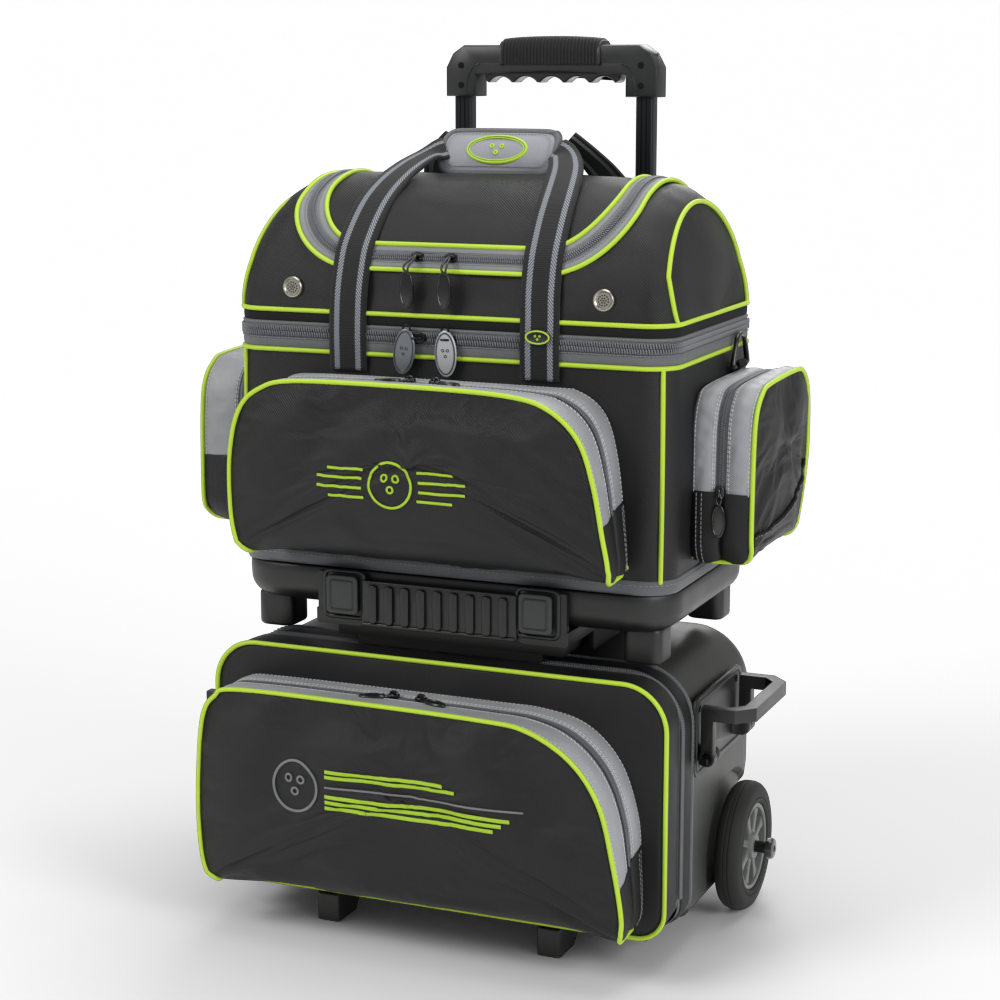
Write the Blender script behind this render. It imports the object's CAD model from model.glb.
# A rolling bowling bag: a wheeled lower case with a zipped door, a soft tote docked on top with
# pockets on three sides, a domed lid with a flap, straps, and a three-stage pull handle.
# It stands upright: +X is right, -Y is the front, +Z is up. Sizes here are in millimetres;
# build() turns them into metres and adds the frame's offset along Y.
import bmesh
import bpy
import functools
import math
import numpy as np
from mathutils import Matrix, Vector
from mathutils.bvhtree import BVHTree


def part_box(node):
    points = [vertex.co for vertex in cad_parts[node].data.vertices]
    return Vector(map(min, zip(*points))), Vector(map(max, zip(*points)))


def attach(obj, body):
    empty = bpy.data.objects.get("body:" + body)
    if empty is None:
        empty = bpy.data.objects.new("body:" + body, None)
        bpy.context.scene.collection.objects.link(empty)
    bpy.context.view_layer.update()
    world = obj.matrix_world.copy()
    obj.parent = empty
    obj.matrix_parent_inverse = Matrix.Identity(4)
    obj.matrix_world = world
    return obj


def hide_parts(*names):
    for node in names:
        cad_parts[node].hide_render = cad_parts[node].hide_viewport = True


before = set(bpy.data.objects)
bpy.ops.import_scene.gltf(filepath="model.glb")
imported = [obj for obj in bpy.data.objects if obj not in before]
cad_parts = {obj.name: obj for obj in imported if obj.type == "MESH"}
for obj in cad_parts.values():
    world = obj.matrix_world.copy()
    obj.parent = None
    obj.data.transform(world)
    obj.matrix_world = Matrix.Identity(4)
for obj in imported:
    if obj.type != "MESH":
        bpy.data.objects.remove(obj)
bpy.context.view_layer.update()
scene = bpy.context.scene

TYRE_Y = 56.5                       # the tyres' middle along Y in this script's own axes
_low, _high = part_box("tyre_right")
ROW_OFFSET = 1000 * (_low.y + _high.y) / 2 - TYRE_Y

SIDES = (("left", -1), ("right", 1))
X_AXIS = np.array([1.0, 0, 0])
Z_AXIS = np.array([0, 0, 1.0])
FORWARD = np.array([0, -1.0, 0])


def box(node):
    """Low and high corner of a frame node, in mm."""
    low, high = (np.array(corner) * 1000 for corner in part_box(node))
    low[1] -= ROW_OFFSET
    high[1] -= ROW_OFFSET
    return low, high


SHELL_LOW, SHELL_HIGH = box("case_shell")
DOOR_LOW, DOOR_HIGH = box("case_door")
TOTE_LOW, TOTE_HIGH = box("tote_body")
CASE_HALF = SHELL_HIGH[0]
ZIP_Y = DOOR_HIGH[1] + 0.4          # where the case zipper runs, at the frame's front edge
PIPING = 2.2                        # radius of the lime piping


# ------------------------------------------------------------------ points and curves
def unit(vectors):
    vectors = np.asarray(vectors, float)
    return vectors / np.maximum(np.linalg.norm(vectors, axis=-1, keepdims=True), 1e-12)


def lengths(points):
    """Running length along a line of points."""
    return np.r_[0, np.cumsum(np.linalg.norm(np.diff(points, axis=0), axis=1))]


def resample(points, count=None, step=None, closed=False):
    """Even spacing along a line; the first three columns set the length."""
    points = np.asarray(points, float)
    if closed:
        points = np.vstack([points, points[:1]])
    along = lengths(points[:, :3])
    if count is None:
        count = max(int(round(along[-1] / step)), 3)
    if closed:
        places = np.linspace(0, along[-1], count + 1)[:-1]
    else:
        places = np.linspace(0, along[-1], count)
    return np.stack([np.interp(places, along, column) for column in points.T], 1)


def curve(points, step=3.0, count=None, closed=False):
    """Catmull-Rom curve through the points, evenly resampled."""
    points = np.asarray(points, float)
    if closed:
        ext = np.vstack([points[-1:], points, points[:2]])
    else:
        ext = np.vstack([2 * points[0] - points[1], points, 2 * points[-1] - points[-2]])
    dense = []
    t = np.linspace(0, 1, 13)[:-1, None]
    for p0, p1, p2, p3 in zip(ext, ext[1:], ext[2:], ext[3:]):
        dense.append(0.5 * (2 * p1 + (p2 - p0) * t + (2 * p0 - 5 * p1 + 4 * p2 - p3) * t ** 2
                            + (3 * p1 - p0 - 3 * p2 + p3) * t ** 3))
    if not closed:
        dense.append(points[-1:])
    return resample(np.vstack(dense), count, step, closed)


def ripple(points, wavelength, seed):
    """Smooth pseudo-noise, about -1..1. The same numbers on every run."""
    rng = np.random.RandomState(seed)
    points = np.asarray(points, float)
    total = 0
    for _ in range(7):
        way = unit(rng.normal(size=3))
        freq = 2 * np.pi / (wavelength * (0.6 + 0.9 * rng.rand()))
        total = total + np.sin(points @ way * freq + rng.rand() * 6.28 + 0.9 * np.sin(
            points @ np.roll(way, 1) * freq * 0.6 + rng.rand() * 6.28))
    return total / 4.0


def rounded_rect(x0, z0, x1, z1, radius, segments):
    """Anticlockwise from the low-left corner; one radius, or four (ll, lr, hr, hl)."""
    ll, lr, hr, hl = radius if isinstance(radius, (list, tuple)) else [radius] * 4
    points = []
    for x, z, r, start in ((x0 + ll, z0 + ll, ll, math.pi), (x1 - lr, z0 + lr, lr, 1.5 * math.pi),
                           (x1 - hr, z1 - hr, hr, 0), (x0 + hl, z1 - hl, hl, 0.5 * math.pi)):
        for i in range(segments + 1):
            angle = start + math.pi / 2 * i / segments
            points.append((x + r * math.cos(angle), z + r * math.sin(angle)))
    return np.array(points)


def rounded_loop(x0, z0, x1, z1, radius, segments, step):
    return resample(rounded_rect(x0, z0, x1, z1, radius, segments), step=step, closed=True)


def outline_normals(outline):
    """Outward normals of a closed anticlockwise outline."""
    along = unit(np.roll(outline, -1, 0) - np.roll(outline, 1, 0))
    return np.stack([along[:, 1], -along[:, 0]], 1)


def section(x0, z0, x1, z1, radius, step=3.0):
    """Rounded outline and its normals from the bottom middle, seen from the front;
    the first point is repeated at the end."""
    outline = rounded_loop(x0, z0, x1, z1, radius, 14, step)
    start = int(np.argmin(np.abs(outline[:, 0]) + (outline[:, 1] > (z0 + z1) / 2) * 1e4))
    outline = np.roll(outline, -start, 0)
    normals = outline_normals(outline)
    return np.vstack([outline, outline[:1]]), np.vstack([normals, normals[:1]])


def band(outline, normals, levels, offset, bulge=0.0, crease=0.0, wavelength=60, seed=1):
    """Rows of an X-Z outline set at the given Y levels, pushed out and bulging mid-way."""
    rows = []
    for k, y in zip(np.linspace(0, 1, len(levels)), levels):
        hump = 4 * k * (1 - k)
        row = np.insert(outline + normals * (offset + bulge * hump), 1, y, axis=1)
        if crease:
            row[:, [0, 2]] += normals * (ripple(row, wavelength, seed) * crease * hump)[:, None]
        rows.append(row)
    return np.array(rows)


def turn(count):
    """Angles once round a circle."""
    return np.linspace(0, 2 * math.pi, count, endpoint=False)


# ------------------------------------------------------------------ shapes: (vertices, faces[, uv])
def ring_faces(rings, count, closed=False, capped=False, start=0, flip=False):
    faces = []
    for i in range(rings if closed else rings - 1):
        row, following = start + i * count, start + (i + 1) % rings * count
        for j in range(count):
            k = (j + 1) % count
            face = (row + j, row + k, following + k, following + j)
            faces.append(face[::-1] if flip else face)
    if capped:
        faces.append(tuple(range(count))[::-1])
        faces.append(tuple((rings - 1) * count + j for j in range(count)))
    return faces


def loft(rings):
    """Capped solid through rings of equal count."""
    return np.vstack(rings), ring_faces(len(rings), len(rings[0]), capped=True)


def place(shape, move=(0, 0, 0), flip=1, axes=None):
    """A shape turned into the given axes, moved, then mirrored in X when flip is -1. Drops the uv."""
    verts = shape[0] if axes is None else shape[0] @ axes
    return (verts + np.asarray(move, float)) * [flip, 1, 1], shape[1]


def sheet_shape(grid, inside, thick, cells=None):
    """A grid of points as fabric with thickness; the outer face looks away from `inside`.
    `cells` marks the grid cells to keep."""
    grid = np.asarray(grid, float)
    m, n = grid.shape[:2]
    normals = unit(np.cross(np.gradient(grid, axis=1), np.gradient(grid, axis=0)))
    flip = ((grid - np.asarray(inside, float)) * normals).sum(-1).mean() < 0
    if flip:
        normals = -normals
    verts = np.vstack([grid.reshape(-1, 3), (grid - thick * normals).reshape(-1, 3)])
    across = np.cumsum(np.linalg.norm(np.diff(grid, axis=1), axis=2), 1)
    across = np.concatenate([np.zeros((m, 1)), across], 1)
    across = across - across[:, n // 2][:, None]
    along = np.cumsum(np.linalg.norm(np.diff(grid, axis=0), axis=2), 0)
    along = np.concatenate([np.zeros((1, n)), along], 0)
    uv = np.stack([across, np.repeat(along[:, n // 2][:, None], n, 1)], -1).reshape(-1, 2)
    uv = np.vstack([uv, uv])
    layer = m * n
    keep = np.ones((m - 1, n - 1), bool) if cells is None else cells
    faces = []
    for i in range(m - 1):
        for j in range(n - 1):
            if not keep[i, j]:
                continue
            a, b, c, d = i * n + j, i * n + j + 1, (i + 1) * n + j + 1, (i + 1) * n + j
            face = (a, d, c, b) if flip else (a, b, c, d)
            faces.append(face)
            faces.append(tuple(x + layer for x in face[::-1]))
            for p, q, ii, jj in ((a, b, i - 1, j), (b, c, i, j + 1),
                                 (c, d, i + 1, j), (d, a, i, j - 1)):
                if not (0 <= ii < m - 1 and 0 <= jj < n - 1 and keep[ii, jj]):
                    p, q = (p, q) if flip else (q, p)
                    faces.append((p, q, q + layer, p + layer))
    if cells is not None:
        used = sorted({i for face in faces for i in face})
        remap = -np.ones(len(verts), int)
        remap[used] = np.arange(len(used))
        verts, uv = verts[used], uv[used]
        faces = [tuple(remap[i] for i in face) for face in faces]
    return verts, faces, uv


def tip_caps(grid):
    """Faces that close the last row of a sheet, outer and inner; the row repeats its first point."""
    rows, cols = grid.shape[:2]
    tip = (rows - 1) * cols
    return [tuple(tip + i for i in range(cols - 1)),
            tuple(tip + rows * cols + i for i in range(cols - 1))[::-1]]


def tube_shape(points, radius, closed=False, sides=10, flat=1.0):
    points = np.asarray(points, float)
    if closed:
        along = unit(np.roll(points, -1, 0) - np.roll(points, 1, 0))
    else:
        along = unit(np.gradient(points, axis=0))
    up = np.zeros((len(points), 3))
    last = np.cross(along[0], [0.3, 0.2, 0.9])
    last = unit(last - along[0] * (last @ along[0]))
    for i, way in enumerate(along):
        last = unit(last - way * (last @ way))
        up[i] = last
    cross = np.cross(along, up)
    radii = np.full(len(points), float(radius))
    if closed:                                     # spread the twist along the loop
        end = unit(up[-1] - along[0] * (up[-1] @ along[0]))
        twist = math.atan2(np.cross(end, up[0]) @ along[0], end @ up[0])
        th = np.linspace(0, twist, len(points), endpoint=False)[:, None]
        up, cross = up * np.cos(th) + cross * np.sin(th), cross * np.cos(th) - up * np.sin(th)
    else:                                          # rounded ends
        head = [points[:1] - along[:1] * radius * reach for reach in (0.7, 0.4)]
        tail = [points[-1:] + along[-1:] * radius * reach for reach in (0.4, 0.7)]
        points = np.vstack(head + [points] + tail)
        up, cross = (np.pad(q, ((2, 2), (0, 0)), mode="edge") for q in (up, cross))
        radii = np.r_[radius * 0.35, radius * 0.8, radii, radius * 0.8, radius * 0.35]
    angles = turn(sides)
    verts = points[:, None] + radii[:, None, None] * (
        np.cos(angles)[None, :, None] * up[:, None]
        + flat * np.sin(angles)[None, :, None] * cross[:, None])
    uv = np.stack([np.repeat(lengths(points)[:, None], sides, 1),
                   np.repeat((angles * 2.0)[None], len(points), 0)], -1)
    faces = ring_faces(len(points), sides, closed=closed, capped=not closed)
    return verts.reshape(-1, 3), faces, uv.reshape(-1, 2)


def ring_shape(centre, axis_a, axis_b, radius_a, radius_b, wire, count=36, sides=8):
    """An elliptical wire ring in the plane of two axes."""
    th = turn(count)[:, None]
    points = np.asarray(centre) + radius_a * np.cos(th) * axis_a + radius_b * np.sin(th) * axis_b
    return tube_shape(points, wire, closed=True, sides=sides)


# A bar of unit length: four hexagonal rings, the end ones smaller.
_hexagon = turn(6)
BAR_POINTS = np.array([(x, size * math.cos(a), size * math.sin(a))
                       for x, size in ((-0.5, 0.5), (-0.36, 1), (0.36, 1), (0.5, 0.5))
                       for a in _hexagon])
BAR_FACES = ring_faces(4, 6, capped=True)


def bars_shape(centres, long_axes, wide_axes, high_axes, length, width, height):
    """Small rounded bars, one for each centre."""
    centres, long_axes, wide_axes, high_axes = (
        np.asarray(q, float)[:, None] for q in (centres, long_axes, wide_axes, high_axes))
    bar = BAR_POINTS[None]
    verts = (centres + bar[..., 0:1] * length * long_axes + bar[..., 1:2] * width * wide_axes
             + bar[..., 2:3] * height * high_axes)
    faces = [tuple(i + 24 * k for i in face) for k in range(len(centres)) for face in BAR_FACES]
    return verts.reshape(-1, 3), faces


def slab_shape(outline, start, end, edge, axis, edge_steps):
    """Anticlockwise outline swept from start to end along an axis, with rounded edges."""
    outline = np.asarray(outline, float)
    normals = outline_normals(outline)
    quarter = [math.pi / 2 * i / edge_steps for i in range(edge_steps + 1)]
    profile = [(start + edge - edge * math.cos(t), -edge + edge * math.sin(t)) for t in quarter]
    profile += [(end - (d - start), offset) for d, offset in profile[::-1]]
    verts, faces = loft([np.c_[outline + normals * offset, np.full(len(outline), d)]
                         for d, offset in profile])
    if axis == "y":
        return verts[:, [0, 2, 1]], [face[::-1] for face in faces]
    if axis == "x":
        return verts[:, [2, 0, 1]], faces
    return verts, faces


def box_shape(x0, x1, y0, y1, z0, z1, radius):
    edge = min(radius, (y1 - y0) / 2.1)
    return slab_shape(rounded_rect(x0, z0, x1, z1, radius, 4), y0, y1, edge, "y", 3)


def lathe_shape(profile, segments, centre, axis):
    """profile: (radius, along) pairs going round a closed section."""
    a = turn(segments)
    rings = [np.stack([np.full(segments, along), r * np.cos(a), r * np.sin(a)], 1)
             for r, along in profile]
    verts = np.vstack(rings)
    if axis == "y":
        verts = verts[:, [1, 0, 2]]
    return verts + np.asarray(centre, float), ring_faces(len(profile), segments, closed=True)


# ------------------------------------------------------------------ objects
MATERIALS = {}


def recalc_normals(ob):
    bm = bmesh.new()
    bm.from_mesh(ob.data)
    bmesh.ops.recalc_face_normals(bm, faces=bm.faces)
    bm.to_mesh(ob.data)
    bm.free()


def build(name, shape, mats, body=None, slot=None, indices=None, sharp=None, replaces=(),
          recalc=False):
    """Makes the object of a shape. `indices` are material indices; `sharp` is in degrees."""
    verts, faces, *maps = shape
    mats = [mats] if isinstance(mats, str) else mats
    me = bpy.data.meshes.new(name)
    metres = np.array(verts, float) * 0.001
    metres[:, 1] += ROW_OFFSET * 0.001
    me.from_pydata(metres.tolist(), [], [tuple(int(i) for i in face) for face in faces])
    for mat in mats:
        me.materials.append(MATERIALS[mat])
    if indices is not None:
        me.polygons.foreach_set("material_index", np.asarray(indices, np.int32))
    me.polygons.foreach_set("use_smooth", np.full(len(me.polygons), True))
    if maps:
        layer = me.uv_layers.new(name="uv")
        corner = np.zeros(len(me.loops), np.int32)
        me.loops.foreach_get("vertex_index", corner)
        layer.data.foreach_set("uv", (np.asarray(maps[0], np.float32)[corner] * 0.01).ravel())
    me.update()
    if sharp is not None:
        me.set_sharp_from_angle(angle=math.radians(sharp))
    ob = bpy.data.objects.new(name, me)
    scene.collection.objects.link(ob)
    if body:
        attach(ob, body)
    if replaces:
        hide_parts(*replaces)
    if recalc:
        recalc_normals(ob)
    return ob


class Parts:
    """Collects several closed shapes into one mesh. Without a given uv a shape's map is zero."""

    def __init__(self):
        self.verts, self.faces, self.indices, self.uvs, self.count = [], [], [], [], 0

    def add(self, shape, index=0, uv=None):
        verts, faces = shape[:2]
        self.verts.append(verts)
        self.faces += [tuple(i + self.count for i in face) for face in faces]
        self.indices += [index] * len(faces)
        self.uvs.append(np.zeros((len(verts), 2)) if uv is None else uv)
        self.count += len(verts)

    def shape(self):
        return np.vstack(self.verts), self.faces

    def make(self, name, mats, body, recalc=True, **options):
        return build(name, self.shape() + (np.vstack(self.uvs),), mats, body,
                     indices=self.indices, recalc=recalc, **options)


def sheet(name, grid, mat, body, inside, thick, cells=None, **options):
    return build(name, sheet_shape(grid, inside, thick, cells), mat, body, **options)


def tube(name, points, radius, mat, body, closed=False, sides=10, **options):
    return build(name, tube_shape(points, radius, closed, sides), mat, body, **options)


def pipe(name, points, body, closed=False):
    return tube(name, points, PIPING, "lime_piping", body, closed)


def rows_along(points, normals, step):
    """Even places on a line: points, tangents, normals and sideways axes."""
    even = resample(np.hstack([points, normals]), step=step)
    along, normals = unit(np.gradient(even[:, :3], axis=0)), unit(even[:, 3:])
    return even[:, :3], along, normals, unit(np.cross(along, normals))


def stitches(name, paths, mat, body, pitch=4.2, length=3.1, width=0.42, lift=0.25, slot=None):
    """Rows of stitches; each path is (points, normals)."""
    parts = Parts()
    for points, normals in paths:
        if len(points) < 4:
            continue
        centres, along, out, wide = rows_along(points, normals, pitch)
        parts.add(bars_shape(centres + out * lift, along, wide, out, length, width, width * 0.8))
    return parts.make(name, mat, body, recalc=False, slot=slot)


def zip_coils(halves, points, normals, side, shift, pitch=2.1, length=3.6, width=0.78, lift=1.1):
    """Coil zipper: bars across the line on each side. halves: two (name, body); the first lies
    on `side`, the second on the other side and shifted along."""
    centres, along, out, wide = rows_along(points, normals, pitch)
    for (name, body), side, shift in zip(halves, (side, -side), (0.0, shift)):
        axis = unit(wide * side + along * 0.16 * side)
        seats = centres + out * lift + wide * side * (length * 0.5 - 0.1) + along * shift
        build(name, bars_shape(seats, axis, along, out, length, width, width * 1.15),
              "coil_grey", body)


def smooth_group():
    """Node group that shades smooth except across edges of 34 degrees or more."""
    group = bpy.data.node_groups.new("smooth_by_angle", "GeometryNodeTree")
    for way in ("INPUT", "OUTPUT"):
        group.interface.new_socket("Geometry", in_out=way, socket_type="NodeSocketGeometry")
    start, end = group.nodes.new("NodeGroupInput"), group.nodes.new("NodeGroupOutput")
    face = group.nodes.new("GeometryNodeSetShadeSmooth")
    face.domain = "FACE"
    edge = group.nodes.new("GeometryNodeSetShadeSmooth")
    edge.domain = "EDGE"
    angle = group.nodes.new("GeometryNodeInputMeshEdgeAngle")
    below = group.nodes.new("FunctionNodeCompare")
    below.data_type = "FLOAT"
    below.operation = "LESS_THAN"
    below.inputs[1].default_value = math.radians(34)
    group.links.new(start.outputs[0], face.inputs[0])
    group.links.new(face.outputs[0], edge.inputs[0])
    group.links.new(angle.outputs[0], below.inputs[0])
    group.links.new(below.outputs[0], edge.inputs["Shade Smooth"])
    group.links.new(edge.outputs[0], end.inputs[0])
    return group


SMOOTH = smooth_group()


def finish_cad(name, width, mat, segments=3, smooth=True):
    """Keeps a frame node's own mesh, with a material and bevelled edges."""
    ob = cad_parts[name]
    ob.data.materials.clear()
    ob.data.materials.append(MATERIALS[mat])
    weld = ob.modifiers.new("weld", "WELD")
    weld.merge_threshold = 0.00005
    bevel = ob.modifiers.new("bevel", "BEVEL")
    bevel.width = width * 0.001
    bevel.segments = segments
    bevel.limit_method = "ANGLE"
    bevel.angle_limit = math.radians(38)
    bevel.miter_outer = "MITER_ARC"
    if smooth:
        ob.modifiers.new("smooth", "NODES").node_group = SMOOTH


# ------------------------------------------------------------------ materials
def srgb(r, g, b):
    """Linear RGBA of an 8-bit sRGB colour."""
    return tuple(((c / 255 + 0.055) / 1.055) ** 2.4 if c > 10 else c / 255 / 12.92
                 for c in (r, g, b)) + (1.0,)


class Shader:
    """A material with one Principled shader, and short calls for the nodes that feed it."""

    INPUTS = {"color": "Base Color", "rough": "Roughness", "metal": "Metallic",
              "normal": "Normal", "sheen": "Sheen Weight", "sheen_rough": "Sheen Roughness",
              "spec": "Specular IOR Level", "coat": "Coat Weight",
              "coat_rough": "Coat Roughness"}

    def __init__(self, name):
        material = bpy.data.materials.new(name)
        material.use_nodes = True
        self.tree = material.node_tree
        self.tree.nodes.clear()
        out = self.new("OutputMaterial")
        self.surface = self.new("BsdfPrincipled")
        self.tree.links.new(self.surface.outputs[0], out.inputs[0])
        MATERIALS[name] = material

    def new(self, kind):
        return self.tree.nodes.new("ShaderNode" + kind)

    def put(self, socket, value):
        if isinstance(value, bpy.types.NodeSocket):
            self.tree.links.new(value, socket)
        elif value is not None:
            socket.default_value = value

    def math(self, operation, first, second=None, clamp=False):
        node = self.new("Math")
        node.operation = operation
        node.use_clamp = clamp
        self.put(node.inputs[0], first)
        self.put(node.inputs[1], second)
        return node.outputs[0]

    def add(self, first, second, clamp=False):
        return self.math("ADD", first, second, clamp)

    def sub(self, first, second):
        return self.math("SUBTRACT", first, second)

    def mul(self, first, second):
        return self.math("MULTIPLY", first, second)

    def wave(self, value, period):
        """Sine wave between 0 and 1."""
        sine = self.math("SINE", self.mul(value, 2 * math.pi / period))
        return self.add(self.mul(sine, 0.5), 0.5)

    def mix(self, factor, low, high):
        node = self.new("Mix")
        node.data_type = "RGBA"
        self.put(node.inputs[0], factor)
        self.put(node.inputs[6], low)
        self.put(node.inputs[7], high)
        return node.outputs[2]

    def coord(self, which="Object"):
        return self.new("TexCoord").outputs[which]

    def split(self, vector):
        node = self.new("SeparateXYZ")
        self.tree.links.new(vector, node.inputs[0])
        return node.outputs

    def cloth_mm(self):
        """Place on the cloth in mm: across and along."""
        across, along, _ = self.split(self.coord("UV"))
        return self.mul(across, 100.0), self.mul(along, 100.0)

    def noise(self, scale, detail=3.0, rough=0.5, vector=None, distortion=0.0):
        node = self.new("TexNoise")
        node.inputs["Scale"].default_value = scale
        node.inputs["Detail"].default_value = detail
        node.inputs["Roughness"].default_value = rough
        node.inputs["Distortion"].default_value = distortion
        source = vector if vector is not None else self.coord()
        self.tree.links.new(source, node.inputs["Vector"])
        return node.outputs[0]

    def ramp(self, value, from_low, from_high, to_low=0.0, to_high=1.0):
        node = self.new("MapRange")
        node.clamp = True
        for i, item in enumerate((value, from_low, from_high, to_low, to_high)):
            self.put(node.inputs[i], item)
        return node.outputs[0]

    def bump(self, height, distance, strength=1.0, previous=None):
        node = self.new("Bump")
        node.inputs["Strength"].default_value = strength
        node.inputs["Distance"].default_value = distance
        self.tree.links.new(height, node.inputs["Height"])
        if previous is not None:
            self.tree.links.new(previous, node.inputs["Normal"])
        return node.outputs[0]

    def base(self, color, rough):
        """Plain values left under the linked ones."""
        self.surface.inputs["Base Color"].default_value = tuple(color)
        self.surface.inputs["Roughness"].default_value = rough

    def set(self, **values):
        for key, value in values.items():
            self.put(self.surface.inputs[self.INPUTS[key]], value)


def twill(name, dark, light, period=2.2, depth=0.00022, rough=0.72, sheen=0.12, spec=0.35,
          metal=0.0, contrast=1.0):
    """Woven cloth: diagonal ribs (period in mm, depth in m) crossed by yarns, with slow shade
    changes and soft creases."""
    dark, light = srgb(*dark), srgb(*light)
    mat = Shader(name)
    mat.base([(a + b) / 2 for a, b in zip(dark, light)], rough)
    across, along = mat.cloth_mm()
    wobble = mat.mul(mat.sub(mat.noise(scale=90, detail=2), 0.5), 1.1)
    diagonal = mat.add(mat.add(across, along), wobble)
    counter = mat.sub(across, along)
    rib = mat.wave(diagonal, period)
    yarn = mat.wave(counter, period * 0.5)
    height = mat.add(mat.mul(rib, 0.7), mat.mul(yarn, 0.3))
    slow = mat.noise(scale=9, detail=4, rough=0.6)
    shade = mat.add(mat.mul(mat.sub(height, 0.5), 0.9 * contrast),
                    mat.mul(mat.add(slow, 0.0), 1.0), clamp=True)
    color = mat.mix(shade, dark, light)
    crease = mat.noise(scale=26, detail=3, rough=0.55, distortion=0.6)
    normal = mat.bump(crease, distance=0.0012, strength=0.35)
    normal = mat.bump(height, distance=depth, strength=0.9, previous=normal)
    mat.set(color=color, rough=mat.ramp(slow, 0.3, 0.7, rough - 0.06, rough + 0.06),
            normal=normal, sheen=sheen, sheen_rough=0.45, spec=spec, metal=metal)


def plastic(name, rgb, rough=0.4, grain=0.00005, grain_scale=900, spec=0.5, vary=0.12):
    """Moulded plastic: fine grain, worn lighter edges, slow roughness change."""
    color = srgb(*rgb)
    mat = Shader(name)
    mat.base(color, rough)
    slow = mat.noise(scale=14, detail=5, rough=0.6)
    fine = mat.noise(scale=grain_scale, detail=2, rough=0.6)
    lighter = tuple(min(1, c * (1 + 2.2 * vary) + 0.002) for c in color[:3]) + (1,)
    darker = tuple(c * (1 - vary) for c in color[:3]) + (1,)
    worn = tuple(min(1, c * 1.5 + 0.005) for c in color[:3]) + (1,)
    edges = mat.new("NewGeometry").outputs["Pointiness"]
    wear = mat.ramp(edges, 0.515, 0.6, 0.0, 0.6)
    patches = mat.mix(mat.ramp(slow, 0.3, 0.7), darker, lighter)
    mat.set(color=mat.mix(wear, patches, worn),
            rough=mat.ramp(slow, 0.25, 0.75, rough - 0.07, rough + 0.07),
            normal=mat.bump(fine, distance=grain, strength=0.7),
            spec=spec, coat=0.0, coat_rough=0.25, metal=0.0)


def plain(name, rgb, rough, lighten, spec=0.5, coat=0.0, metal=0.0):
    """One even colour for small things; lighten is twice the share added to it."""
    color = tuple(c * (1 + 0.5 * lighten) for c in srgb(*rgb)[:3]) + (1,)
    Shader(name).set(color=color, rough=rough, spec=spec, coat=coat, coat_rough=0.25,
                     metal=metal)


def metal_tube():
    """Dark metal brushed along Z."""
    mat = Shader("tube_metal")
    x, y, z = mat.split(mat.coord())
    stretched = mat.new("CombineXYZ")
    mat.put(stretched.inputs[0], mat.mul(x, 900.0))
    mat.put(stretched.inputs[1], mat.mul(y, 900.0))
    mat.put(stretched.inputs[2], mat.mul(z, 6.0))
    brush = mat.noise(scale=1.0, detail=3, rough=0.5, vector=stretched.outputs[0])
    mat.set(color=mat.mix(brush, srgb(22, 23, 25), srgb(46, 48, 51)),
            rough=mat.ramp(brush, 0.3, 0.7, 0.28, 0.42), metal=0.75,
            normal=mat.bump(brush, distance=0.00002, strength=0.5))


def webbing():
    """Woven black strap with two grey zig-zag stripes; across runs in mm from the middle."""
    mat = Shader("webbing")
    across, along = mat.cloth_mm()
    zigzag = mat.mul(mat.math("PINGPONG", along, 1.6), 0.55)
    from_middle = mat.math("ABSOLUTE", across)
    stripe_middle = 11.3
    off_stripe = mat.math("ABSOLUTE", mat.sub(mat.add(from_middle, zigzag), stripe_middle))
    stripe = mat.ramp(off_stripe, 2.5, 3.0, 1.0, 0.0)
    weft = mat.wave(along, period=1.7)
    warp = mat.wave(across, period=1.5)
    height = mat.mul(weft, mat.add(mat.mul(warp, 0.5), 0.5))
    black = mat.mix(height, srgb(7, 7, 8), srgb(28, 28, 30))
    diagonal = mat.wave(mat.add(mat.mul(from_middle, 1.3), along), period=3.2)
    grey = mat.mix(diagonal, srgb(58, 61, 67), srgb(146, 150, 158))
    relief = mat.add(height, mat.mul(mat.mul(diagonal, stripe), 0.6))
    mat.set(color=mat.mix(stripe, black, grey), rough=0.7,
            normal=mat.bump(relief, distance=0.0003, strength=0.8), spec=0.3, sheen=0.1)


def object_cloth(name, dark, light, period):
    """Cloth for pieces without a uv map, woven in object X and Y; period in mm."""
    mat = Shader(name)
    x, y, _ = mat.split(mat.coord())
    rib = mat.wave(mat.add(x, y), period * 0.001)
    yarn = mat.wave(mat.sub(x, y), period * 0.0013)
    shade = mat.add(mat.mul(mat.mul(rib, yarn), 0.5),
                    mat.mul(mat.noise(scale=20, detail=3), 0.5), clamp=True)
    mat.set(color=mat.mix(shade, srgb(*dark), srgb(*light)), rough=0.9,
            normal=mat.bump(mat.mul(rib, yarn), distance=0.0002, strength=0.7), spec=0.15)


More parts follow.
